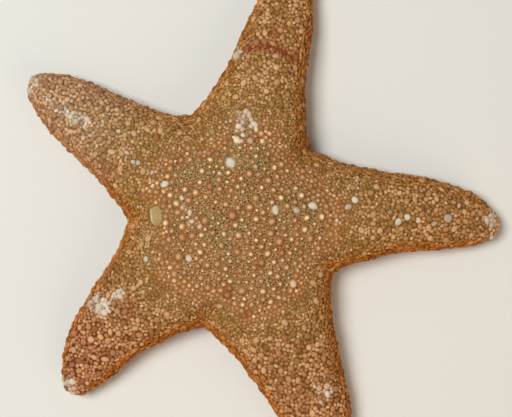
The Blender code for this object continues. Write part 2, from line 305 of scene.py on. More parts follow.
@dataclass
class Plan:
    """Plan of the whole star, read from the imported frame."""

    porous_middle: Pair = (1.0 * MM, -4.0 * MM)
    porous_shift: Pair = (-3.0 * MM, 2.5 * MM)
    porous_drift: float = 1.8 * MM
    least_along: float = 5.0 * MM
    full_aside: float = 0.7

    def __post_init__(self) -> None:
        """Find the disc's centre and measure the arms."""
        low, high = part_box("mouth_frame")
        self.centre = np.array(((low.x + high.x) / 2.0, (low.y + high.y) / 2.0))
        self.arms = [ArmPlan(f"arm_{letter}", self.centre) for letter in ARM_LETTERS]
        self.lengths = np.array([arm.length for arm in self.arms])

    def locate(self, points: Array, normals: Array) -> Where:
        """Where points lie on the star.

        Args:
            points: Rows of three.
            normals: The surface's normals at the points.

        Returns:
            Their places.
        """
        flat = points[:, :2] - self.centre
        alongs = np.stack([flat @ arm.direction for arm in self.arms])
        sides = np.stack([flat @ arm.left - arm.middle(row) for arm, row in zip(self.arms, alongs)])
        arm = np.where(alongs > 0.0, np.abs(sides), np.inf).argmin(axis=0)
        rows = np.arange(len(points))
        along = alongs[arm, rows]
        across = sides[arm, rows]
        # The edge of the porous ground wanders, and it runs up the arms.
        x, y = flat.T
        drift = np.sin(x / (3.7 * MM) + 0.6) * np.cos(y / (4.4 * MM) - 1.1)
        drift += 0.5 * np.sin(x / (1.9 * MM) + y / (2.3 * MM))
        aside = np.abs(across) / np.maximum(along, self.least_along)
        shift = mix(*self.porous_shift, smoothstep(aside, 0.0, self.full_aside)) + self.porous_drift * drift
        return Where(
            arm=arm,
            along=along,
            across=across,
            part=along / self.lengths[arm],
            radius=np.linalg.norm(flat, axis=1),
            pores=np.linalg.norm(flat - self.porous_middle, axis=1) + shift,
            height=points[:, 2],
            sighted=OVERHEAD.sighted(points, self.centre),
            up=normals[:, 2],
            north=normals[:, 1],
        )


# ---- markings


@dataclass(frozen=True)
class Spot:
    """A pale knob, a patch bleached pale and partly lit with a painted sheen, or a flush of red, at its
    sighted place in millimetres.
    """

    right: float
    up: float
    radius: float
    strength: float = 1.0


def spot_rows(*rows: tuple[float, ...]) -> tuple[Spot, ...]:
    """Spots from rows of their numbers."""
    return tuple(Spot(*row) for row in rows)


@dataclass(frozen=True)
class Markings:
    """Where the star is orange, bleached pale or flushed red, partly as painted light: warm bounce on the
    flanks, a sheen in the pale patches and shade on the duller arms. Skin and coat read the same ones.
    """

    knobs: tuple[Spot, ...] = spot_rows(
        (-3.1, 14.9, 1.75), (2.0, 32.6, 1.0, 0.55), (1.3, 30.9, 0.9, 0.5), (3.1, 31.3, 1.0, 0.6),
        (3.8, 29.8, 0.8, 0.5), (4.9, 28.2, 1.15, 0.95), (5.4, 26.4, 0.9, 0.6), (3.6, 27.4, 0.7, 0.5),
        (-0.4, 27.4, 1.1, 0.95), (0.8, 26.4, 0.9, 0.6), (-1.2, 25.8, 0.7, 0.45), (-1.1, 22.8, 1.2, 0.9),
        (0.4, 22.2, 0.8, 0.6), (-2.1, 23.6, 0.7, 0.4), (1.0, 24.4, 0.8, 0.55), (3.4, 22.4, 1.05, 0.45),
        (7.5, 22.4, 0.8, 0.4), (-3.1, 29.2, 0.65, 0.6), (-19.7, 3.1, 0.7, 0.8), (-19.7, -0.3, 0.6, 0.7),
        (-17.0, -2.0, 0.85, 0.95), (-17.9, -3.4, 0.55, 0.8), (-16.3, -4.8, 0.7, 0.8),
        (-17.4, -5.9, 0.5, 0.7), (-13.6, -6.8, 0.8, 0.5), (6.1, 11.0, 0.75, 0.3),
        (5.2, 13.6, 0.7, 0.25), (8.3, 12.9, 0.6, 0.3), (-6.9, 11.5, 0.5, 0.5), (-29.6, 7.1, 0.7, 0.5),
        (-30.0, 11.8, 0.8, 0.45), (12.0, -1.0, 1.35, 0.9), (19.2, -1.2, 1.15, 0.6), (24.8, 0.4, 1.4),
        (39.1, 2.4, 1.2), (36.7, 0.0, 1.2, 0.5), (53.7, -5.1, 1.3, 0.9), (56.8, -3.4, 1.25),
        (60.5, -4.5, 1.1, 0.5), (70.7, -3.8, 1.6, 0.6), (51.0, -1.7, 0.95, 0.4), (65.9, -5.7, 1.0, 0.4),
        (74.3, 0.5, 0.95, 0.35), (63.2, 2.7, 0.9, 0.3), (-25.5, 7.8, 1.25), (-17.3, -17.3, 1.15),
        (-36.4, 15.4, 0.85, 0.9), (-34.7, 15.0, 0.8, 0.8), (-38.4, 18.4, 0.9, 0.45),
        (-41.3, 25.7, 0.85, 0.6), (-32.0, -17.7, 1.0, 0.8), (18.0, -26.0, 1.3, 0.35),
    )
    patches: tuple[Spot, ...] = spot_rows(
        (-64.5, 36.4, 2.2, 0.4), (-60.4, 33.8, 2.5, 0.7), (-56.4, 31.2, 2.7, 0.8),
        (-53.0, 28.6, 2.4, 0.75), (-47.0, 25.5, 3.0, 0.3), (-47.5, -33.5, 4.0, 0.6),
        (-41.0, -30.0, 3.0, 0.45), (-59.5, -60.5, 3.2, 0.7), (-17.0, -3.4, 3.2, 0.3),
        (1.5, 28.0, 4.5, 0.35), (87.0, -5.0, 3.5, 0.5), (28.0, -62.0, 4.0, 0.3), (-1.0, 52.0, 3.0, 0.4),
    )
    flushes: tuple[Spot, ...] = spot_rows(
        (12.5, 59.0, 3.6, 0.55), (11.0, -49.0, 3.4, 0.4), (-38.0, -34.0, 4.0, 0.45),
        (-46.0, 11.5, 4.5, 0.45),
    )
    spot_fade: Pair = (1.25, 0.4)
    spot_level: float = 4.0 * MM
    vent: Spot = Spot(-8.9, -0.6, 0.55)
    vent_clearance: float = 1.3 * MM
    vent_level: float = 15.0 * MM
    crease_arm: str = "e"
    crease_along: float = 54.0 * MM
    crease_bow: float = 38.0
    crease_half: float = 1.9 * MM
    crease_ends: Pair = (11.0 * MM, 7.0 * MM)
    margin_beat: float = 2.6 * MM
    # Share of red on each arm, a to e: partly the star's own, and partly painted shade that leaves arms a, d
    # and e duller.
    redness_and_shade: tuple[float, ...] = (0.35, 0.7, 1.0, 0.5, 0.35)
    reddening: Pair = (30.0 * MM, 74.0 * MM)
    tip_warmth: float = 0.12
    flank_warmth: float = 0.76
    bounce_north_fade: float = 0.25
    flank_slope: Pair = (0.95, 0.5)
    dusty_arm: str = "d"
    dusty_part: Pair = (0.35, 0.75)
    tip_part: Pair = (0.9, 1.0)
    dust_arms: float = 0.24
    dust_tips: float = 0.25
    porous_fade: Pair = (40.0 * MM, 17.0 * MM)
    ridge_pores: float = 0.15
    ridge_ends: Pair = (0.7, 0.4)
    ridge_sides: Pair = (8.0 * MM, 3.0 * MM)
    open_slope: Pair = (0.62, 0.86)
    margin_slope: Pair = (0.55, 0.15)
    under_slope: Pair = (0.0, -0.6)

    def spotted(self, spots: tuple[Spot, ...], where: Where) -> Array:
        """Strongest of some soft spots at each place.

        Args:
            spots: The spots.
            where: Places on the star.

        Returns:
            One share for each place.
        """
        right, up = where.sighted.T / MM
        outer, inner = self.spot_fade
        share = np.zeros(len(right))
        for spot in spots:
            away = np.hypot(right - spot.right, up - spot.up)
            soft = spot.strength * smoothstep(away, spot.radius * outer, spot.radius * inner)
            share = np.maximum(share, soft)
        return share * (where.height > self.spot_level)

    def worn(self, where: Where) -> Array:
        """How far the surface is bleached in patches, from 0 to 1, partly as a painted sheen."""
        return self.spotted(self.patches, where)

    def flushed(self, where: Where) -> Array:
        """How far the surface is flushed red in patches, from 0 to 1."""
        return self.spotted(self.flushes, where)

    def dust(self, where: Where) -> Array:
        """How far the surface is greyed: over one arm, and at all the tips."""
        dusty = (where.arm == ARM_LETTERS.index(self.dusty_arm)) * smoothstep(where.part, *self.dusty_part)
        return self.dust_arms * dusty + self.dust_tips * smoothstep(where.part, *self.tip_part)

    def tip(self, where: Where) -> Array:
        """How far the surface turns to pink and red-brown towards the arms' tips, from 0 to 1, with each
        arm's share partly painted shade.
        """
        return smoothstep(where.radius, *self.reddening) * np.array(self.redness_and_shade)[where.arm]

    def warm(self, where: Where) -> Array:
        """How far the surface turns from olive-tan to orange, from 0 to 1: on the flanks partly the skin's
        own orange and partly painted warm bounce light, strongest where they face south.
        """
        # Painted warm bounce light: the flanks' orange fades where they face north.
        flank = smoothstep(where.up, *self.flank_slope) * (self.flank_warmth - self.bounce_north_fade * where.north)
        return np.clip(flank + self.tip_warmth * self.tip(where), 0.0, 1.0)

    def by_vent(self, where: Where, reach: float) -> Array:
        """True for each place nearer than a reach to the vent."""
        spot = np.array((self.vent.right, self.vent.up)) * MM
        return (np.linalg.norm(where.sighted - spot, axis=1) < reach) & (where.height > self.vent_level)

    def open(self, where: Where) -> Array:
        """How far porous ground shows between the beads.

        Args:
            where: Places on the star.

        Returns:
            1 on the disc's top, and 0 on the flanks.
        """
        disc = smoothstep(where.pores, *self.porous_fade)
        ridge = self.ridge_pores * smoothstep(where.part, *self.ridge_ends)
        ridge = ridge * smoothstep(np.abs(where.across), *self.ridge_sides)
        return np.maximum(disc, ridge) * smoothstep(where.up, *self.open_slope)

    def margin(self, where: Where) -> Array:
        """Height of the row of plates along the star's edge, from 0 to 1."""
        beat = 0.5 + 0.5 * np.cos(math.tau * where.along / self.margin_beat)
        return beat * smoothstep(np.abs(where.up), *self.margin_slope)

    def crease(self, where: Where) -> Array:
        """Depth of the old fold across one arm.

        Args:
            where: Places on the star.

        Returns:
            1 in the fold, and 0 away from it.
        """
        line = self.crease_along - self.crease_bow * where.across**2
        depth = np.exp(-(((where.along - line) / self.crease_half) ** 2))
        on_arm = where.arm == ARM_LETTERS.index(self.crease_arm)
        return depth * on_arm * (where.up > 0.0) * smoothstep(np.abs(where.across), *self.crease_ends)

    def under(self, where: Where) -> Array:
        """1 on the underside, falling to 0 over the lower edge."""
        return smoothstep(where.up, *self.under_slope)


# ---- geometry nodes


class NodeMaker:
    """Adds nodes to a tree."""

    def __init__(self, tree: NodeTree) -> None:
        """Work on a node tree."""
        self.tree = tree

    def put(self, socket: NodeSocket, value: object) -> None:
        """Fill an input.

        Args:
            socket: The input.
            value: An output to link it to, or a plain value.
        """
        if isinstance(value, NodeSocket):
            self.tree.links.new(value, socket)
        else:
            socket.default_value = value

    def fill(self, node: Node, values: dict[str, object]) -> None:
        """Fill inputs of a node that are in use.

        Args:
            node: The node.
            values: What fills each input, by its name with _ for spaces.
        """
        for name, value in values.items():
            wanted = name.replace("_", " ")
            self.put(next(item for item in node.inputs if item.name == wanted and item.enabled), value)

    def node(self, kind: str, settings: dict | None = None, **values: object) -> Node:
        """Add a node.

        Args:
            kind: Node type.
            settings: Properties to set on it.
            **values: What fills its inputs.

        Returns:
            The node.
        """
        node = self.tree.nodes.new(kind)
        for name, value in (settings or {}).items():
            setattr(node, name, value)
        self.fill(node, values)
        return node

    def sockets(self, side: str, kinds: dict[str, str]) -> dict[str, str]:
        """Give a group sockets of some kinds by name, and find the identifier of each."""
        new = self.tree.interface.new_socket
        return {key: new(key, in_out=side, socket_type=f"NodeSocket{kinds[key]}").identifier for key in kinds}

    def math(self, operation: str, *values: object, clamp: bool = False) -> NodeSocket:
        """Result of a Math node.

        Args:
            operation: Its operation.
            *values: What fills its inputs, in order.
            clamp: Whether the result is kept from 0 to 1.

        Returns:
            The node's output.
        """
        node = self.node("ShaderNodeMath", {"operation": operation, "use_clamp": clamp})
        for socket, value in zip(node.inputs, values):
            self.put(socket, value)
        return node.outputs[0]

    def times(self, *values: object, clamp: bool = False) -> NodeSocket:
        """Product of two values, with a third one added where there are three."""
        return self.math("MULTIPLY" if len(values) == 2 else "MULTIPLY_ADD", *values, clamp=clamp)

    def scaled(self, vector: object, factor: object) -> NodeSocket:
        """A vector or colour times a number."""
        scale = {"operation": "SCALE"}
        return self.node("ShaderNodeVectorMath", scale, Vector=vector, Scale=factor).outputs[0]


class GeometryMaker(NodeMaker):
    """Makes a Geometry Nodes tree and carries it out."""

    def __init__(self, name: str, inputs: dict[str, str]) -> None:
        """Start a tree with a geometry input and output.

        Args:
            name: Name of the tree.
            inputs: Kind of each other input, by its name.
        """
        super().__init__(bpy.data.node_groups.new(name, "GeometryNodeTree"))
        self.tree.is_modifier = True
        self.identifiers = self.sockets("INPUT", {"Geometry": "Geometry", **inputs})
        self.sockets("OUTPUT", {"Geometry": "Geometry"})
        self.given = self.node("NodeGroupInput").outputs
        self.end = self.node("NodeGroupOutput")

    def named(self, name: str) -> NodeSocket:
        """Output that reads a named vector attribute."""
        kind = {"data_type": "FLOAT_VECTOR"}
        return self.node("GeometryNodeInputNamedAttribute", kind, Name=name).outputs["Attribute"]

    def run(self, item: Object, **values: object) -> Mesh:
        """Carry the tree out on an object.

        Args:
            item: Object that carries the geometry.
            **values: Values of the named inputs, with _ for spaces.

        Returns:
            The result as a plain mesh. The modifier is removed.
        """
        modifier = item.modifiers.new(self.tree.name, "NODES")
        modifier.node_group = self.tree
        for name, value in values.items():
            modifier[self.identifiers[name.replace("_", " ")]] = value
        mesh = evaluated_mesh(item)
        item.modifiers.remove(modifier)
        return mesh


def scatter_tree() -> GeometryMaker:
    """Tree that scatters points over a surface, no two nearer than a least gap.

    Returns:
        The tree, with the inputs Least Gap, Density and Seed.
    """
    tree = GeometryMaker("scatter_on_skin", {"Least Gap": "Float", "Density": "Float", "Seed": "Int"})
    scatter = tree.node(
        "GeometryNodeDistributePointsOnFaces",
        {"distribute_method": "POISSON"},
        Mesh=tree.given["Geometry"],
        Distance_Min=tree.given["Least Gap"],
        Density_Max=tree.given["Density"],
        Seed=tree.given["Seed"],
    )
    vertices = tree.node("GeometryNodePointsToVertices", Points=scatter.outputs["Points"])
    tree.fill(tree.end, {"Geometry": vertices.outputs[0]})
    return tree


def coat_tree() -> GeometryMaker:
    """Tree that sets one small shape on each point and roughens it.

    Each point's turn holds the shape's Euler angles, and size its half-sizes. The result is
    real mesh with the coat's material.

    Returns:
        The tree, with the inputs Shape, Lump Width, Lump Height and Material.
    """
    inputs = {"Shape": "Object", "Lump Width": "Float", "Lump Height": "Float", "Material": "Material"}
    tree = GeometryMaker("coat_on_sites", inputs)
    shape = tree.node("GeometryNodeObjectInfo", Object=tree.given["Shape"])
    turned = tree.node("FunctionNodeEulerToRotation", Euler=tree.named("turn"))
    copies = tree.node(
        "GeometryNodeInstanceOnPoints",
        Points=tree.given["Geometry"],
        Instance=shape.outputs["Geometry"],
        Rotation=turned.outputs[0],
        Scale=tree.named("size"),
    )
    real = tree.node("GeometryNodeRealizeInstances", Geometry=copies.outputs["Instances"])
    place = tree.node("GeometryNodeInputPosition").outputs[0]
    finer = tree.math("DIVIDE", 1.0, tree.given["Lump Width"])
    lumps = tree.node("ShaderNodeTexNoise", Vector=place, Scale=finer, Detail=1.0)
    centred = tree.node("ShaderNodeVectorMath", {"operation": "SUBTRACT"})
    tree.put(centred.inputs[0], lumps.outputs["Color"])
    tree.put(centred.inputs[1], (0.5, 0.5, 0.5))
    offset = tree.scaled(centred.outputs[0], tree.given["Lump Height"])
    rough = tree.node("GeometryNodeSetPosition", Geometry=real.outputs[0], Offset=offset)
    smooth = tree.node("GeometryNodeSetShadeSmooth", Geometry=rough.outputs[0])
    material = tree.given["Material"]
    dressed = tree.node("GeometryNodeSetMaterial", Geometry=smooth.outputs[0], Material=material)
    tree.fill(tree.end, {"Geometry": dressed.outputs[0]})
    return tree


# ---- skin


@dataclass
class Skin:
    """The one skin that covers disc, arms and mouth frame."""

    plan: Plan
    markings: Markings
    join: float = 0.3 * MM
    voxel: float = 0.645 * MM
    smoothing: int = 14
    smoothing_steps: Pair = (0.6, -0.62)
    coat_open: float = 0.85 * MM
    coat_top: float = 0.62 * MM
    coat_under: float = 0.6 * MM
    boss_height: float = 0.32 * MM
    swell_height: float = 0.28 * MM
    margin_height: float = 0.22 * MM
    crease_depth: float = 0.75 * MM
    under_flattening: float = 0.7
    halo_reach: float = 2.3
    furrow_half: float = 5.0 * MM
    furrow_level: float = 6.0 * MM
    mouth_radius: float = 9.0 * MM
    mouth_level: float = 14.0 * MM
    seam_margin: float = 0.005
    packed_ground: float = 0.65
    patch_strength: float = 0.45

    def __post_init__(self) -> None:
        """Make the smooth skin, drawn in under the solids by the coat's depth."""
        self.mesh = self.wrapped_solids()
        self.smooth()
        self.draw_in()
        self.refresh()
        self.unwrap()

    def wrapped_solids(self) -> Mesh:
        """Wrap all solids, each swollen until the thin cuts between them close.

        Returns:
            One closed mesh of small even faces.
        """
        joined = bmesh.new()
        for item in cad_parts.values():
            part = bmesh.new()
            part.from_mesh(item.data)
            bmesh.ops.remove_doubles(part, verts=part.verts, dist=1e-6)
            part.normal_update()
            for vertex in part.verts:
                vertex.co += vertex.normal * self.join
            swollen = bpy.data.meshes.new("swollen")
            part.to_mesh(swollen)
            part.free()
            joined.from_mesh(swollen)
            bpy.data.meshes.remove(swollen)
        mesh = bpy.data.meshes.new("joined")
        joined.to_mesh(mesh)
        joined.free()
        item = new_object("skin_making", mesh)
        wrap = item.modifiers.new("wrap", "REMESH")
        wrap.mode = "VOXEL"
        wrap.voxel_size = self.voxel
        result = evaluated_mesh(item)
        bpy.data.objects.remove(item)
        return result

    def smooth(self) -> None:
        """Even out the small steps of the remeshing, without drawing the body in."""
        points = vertex_array(self.mesh)
        first, second = read(self.mesh.edges, "vertices", 2, int).T
        count = len(points)
        neighbours = np.bincount(first, minlength=count) + np.bincount(second, minlength=count)
        neighbours = np.maximum(neighbours, 1)[:, None]
        for step in self.smoothing_steps * self.smoothing:
            pulled = summed(first, points[second], count) + summed(second, points[first], count)
            points += step * (pulled / neighbours - points)
        self.place(points)

    def place(self, points: Array) -> None:
        """Move the skin's vertices to new places."""
        self.mesh.vertices.foreach_set("co", points.ravel())
        self.mesh.update()

    def draw_in(self) -> None:
        """Draw the skin in by the swelling and the coat's depth, clear of the floor."""
        points = vertex_array(self.mesh)
        normals = read(self.mesh.vertex_normals, "vector", 3)
        where = self.plan.locate(points, normals)
        under = self.markings.under(where)
        depth = mix(self.coat_top, self.coat_open, self.markings.open(where))
        depth = self.join + mix(depth, self.coat_under, under)
        points -= normals * depth[:, None]
        points[:, 2] = np.maximum(points[:, 2], self.coat_under)
        self.place(points)

    def refresh(self) -> None:
        """Read the skin's shape again and rebuild what is looked up on it."""
        self.points = vertex_array(self.mesh)
        self.normals = read(self.mesh.vertex_normals, "vector", 3)
        self.where = self.plan.locate(self.points, self.normals)
        self.mesh.calc_loop_triangles()
        self.triangles = read(self.mesh.loop_triangles, "vertices", 3, int)
        self.tree = BVHTree.FromPolygons(self.points.tolist(), self.triangles.tolist())

    def is_top(self) -> Array:
        """Which vertices are on the upper side, away from the mouth and the furrows.

        Returns:
            True for each vertex that is.
        """
        where = self.where
        furrow = (np.abs(where.across) < self.furrow_half) & (where.height < self.furrow_level)
        mouth = (where.radius < self.mouth_radius) & (where.height < self.mouth_level)
        return (where.up > 0.0) & ~furrow & ~mouth

    def unwrap(self) -> None:
        """Unwrap the upper side and the underside, with the seam round the star's edge."""
        top = self.is_top()
        face_top = [all(top[index] for index in face.vertices) for face in self.mesh.polygons]
        item = new_object("skin_unwrapping", self.mesh)
        work = bmesh.new()
        work.from_mesh(self.mesh)
        work.faces.ensure_lookup_table()
        for edge in work.edges:
            edge.seam = len({face_top[face.index] for face in edge.link_faces}) > 1
        work.to_mesh(self.mesh)
        work.free()
        self.mesh.uv_layers.new(name=BAKE_MAP)
        bpy.context.view_layer.objects.active = item
        item.select_set(True)
        bpy.ops.object.mode_set(mode="EDIT")
        bpy.ops.mesh.select_all(action="SELECT")
        bpy.ops.uv.unwrap(method="CONFORMAL", margin=self.seam_margin)
        bpy.ops.object.mode_set(mode="OBJECT")
        layer = self.mesh.uv_layers[BAKE_MAP]
        corners = read(self.mesh.loops, "vertex_index", 1, int)
        self.flat = np.zeros((len(self.points), 2))
        self.flat[corners] = read(layer.uv, "vector", 2)
        bpy.data.objects.remove(item)

    def nearest(self, points: Array) -> tuple[Array, Array, Array]:
        """Closest places on the skin to some points.

        Args:
            points: Rows of three.

        Returns:
            The places, the smooth normals there, and a skin vertex beside each.
        """
        places = np.empty_like(points)
        faces = np.empty(len(points), dtype=np.int64)
        for index, point in enumerate(points.tolist()):
            places[index], _, faces[index], _ = self.tree.find_nearest(point)
        corners = self.triangles[faces]
        weights = np.linalg.norm(self.points[corners] - places[:, None, :], axis=2)
        weights = 1.0 / np.maximum(weights, 1e-6)
        weights /= weights.sum(axis=1, keepdims=True)
        normals = unit((self.normals[corners] * weights[:, :, None]).sum(axis=1))
        closest = corners[np.arange(len(corners)), weights.argmax(axis=1)]
        return places, normals, closest

    def scattered(self, gap: float, density: float, seed: int) -> tuple[Array, Array]:
        """Points scattered over the skin.

        Args:
            gap: Least distance between two points.
            density: Points tried for each square metre.
            seed: Seed of the scatter.

        Returns:
            Their places and the smooth normals there.
        """
        item = new_object("scatter", self.mesh.copy())
        mesh = scatter_tree().run(item, Least_Gap=gap, Density=density, Seed=seed)
        bpy.data.objects.remove(item)
        return self.nearest(vertex_array(mesh))[:2]

    def at_spots(self, spots: tuple[Spot, ...]) -> tuple[Array, Array]:
        """Places on the skin of some sighted spots.

        Args:
            spots: The spots.

        Returns:
            The places and the smooth normals there.
        """
        eye = OVERHEAD.point(self.plan.centre)
        found = []
        for spot in spots:
            aim = np.append(self.plan.centre + np.array((spot.right, spot.up)) * MM, OVERHEAD.level)
            found.append(self.tree.ray_cast(Vector(eye), Vector(aim - eye))[0])
        return self.nearest(np.array(found))[:2]

    def marks(self, points: Array, normals: Array) -> dict[str, Array]:
        """Markings of the star at some points.

        Args:
            points: Rows of three.
            normals: Normals there.

        Returns:
            A number for each point, by attribute name.
        """
        where, markings = self.plan.locate(points, normals), self.markings
        return {
            "packed": 1.0 - smoothstep(markings.open(where), 0.0, self.packed_ground),
            "tip": markings.tip(where),
            "warm": markings.warm(where),
            "worn": np.maximum(self.patch_strength * markings.worn(where), markings.dust(where)),
            "blush": np.maximum(markings.crease(where), markings.flushed(where)),
            "under": markings.under(where),
        }

    def swell(self) -> Array:
        """Low uneven swelling of a dried body.

        Returns:
            A number from about -1 to 1 for each vertex.
        """
        x, y, z = (self.points / MM).T
        swell = np.sin(0.31 * x + 0.9 * np.sin(0.17 * y)) * np.cos(0.27 * y + 0.7 * np.sin(0.21 * x))
        swell += 0.5 * np.sin(0.63 * x - 0.48 * y + 0.4 * z)
        return swell / 1.5

    def shape_relief(self, beads: "Sites") -> None:
        """Raise low bosses under the beads, swell the surface unevenly and press in the fold.

        Args:
            beads: Sites whose plates show through the skin.
        """
        closeness = beads.closeness(self.points, self.halo_reach)
        closeness *= self.markings.open(self.where)
        lift = self.boss_height * closeness
        lift += self.swell_height * self.swell()
        lift += self.margin_height * self.markings.margin(self.where)
        lift -= self.crease_depth * self.markings.crease(self.where)
        lift *= 1.0 - self.under_flattening * self.markings.under(self.where)
        points = self.points + self.normals * lift[:, None]
        points[:, 2] = np.maximum(points[:, 2], self.coat_under)
        self.place(points)
        self.boss = closeness
        self.refresh()

    def build(self, finish: "SkinFinish") -> Object:
        """Dress the skin and make it an object.

        Args:
            finish: Its finish.

        Returns:
            The skin.
        """
        marks = self.marks(self.points, self.normals)
        marks["worn"] *= 0.5
        marks["blush"] *= 0.5
        marks["boss"] = self.boss
        for name, values in marks.items():
            put_attribute(self.mesh, name, values)
        self.mesh.shade_smooth()
        self.mesh.materials.clear()
        self.mesh.materials.append(finish.material())
        self.mesh.name = "skin"
        return new_object("skin", self.mesh)


# ---- sites of the coat


@dataclass
class Sites:
    """Places of the coat's pieces: a row or a number for each."""

    points: Array
    normals: Array
    room: Array
    radius: Array
    kind: Array
    worn: Array

    def __len__(self) -> int:
        """Number of sites."""
        return len(self.points)

    def chosen(self, mask: Array) -> "Sites":
        """The sites that a mask keeps."""
        return Sites(*(values[mask] for values in vars(self).values()))

    def closeness(self, points: Array, reach: float) -> Array:
        """How near points lie to the nearest site: 1 at its centre, 0 past its reach.

        Args:
            points: Rows of three.
            reach: How far a site reaches, in radii of its piece.

        Returns:
            One share for each point.
        """
        tree = search_tree(self.points)
        share = np.zeros(len(points))
        for index, point in enumerate(points.tolist()):
            _, found, distance = tree.find(point)
            share[index] = distance / (self.radius[found] * reach)
        return smoothstep(share, 1.0, 0.45)


def joined_sites(parts: list[Sites]) -> Sites:
    """One set of sites from several."""
    columns = zip(*(vars(part).values() for part in parts))
    return Sites(*(np.concatenate(column) for column in columns))


@dataclass
class Hash:
    """Grid of cells, each of a given size, that finds the sites near a point."""

    cell: float
    sites: dict[tuple[int, ...], list[tuple[Triple, float]]] = field(default_factory=dict)

    def add(self, point: Triple, room: float) -> None:
        """Put a site in the grid, with its half-spacing."""
        key = tuple(math.floor(value / self.cell) for value in point)
        self.sites.setdefault(key, []).append((point, room))

    def is_free(self, point: Triple, room: float, squeeze: float) -> bool:
        """Whether a site fits beside those already there.

        Args:
            point: Its place.
            room: Its own half-spacing.
            squeeze: Share of the full spacing that is enough.

        Returns:
            True when nothing is too near.
        """
        x, y, z = (math.floor(value / self.cell) for value in point)
        for key in product((x - 1, x, x + 1), (y - 1, y, y + 1), (z - 1, z, z + 1)):
            for other, other_room in self.sites.get(key, ()):
                gap = squeeze * (room + other_room)
                away = (point[0] - other[0]) ** 2 + (point[1] - other[1]) ** 2 + (point[2] - other[2]) ** 2
                if away < gap * gap:
                    return False
        return True


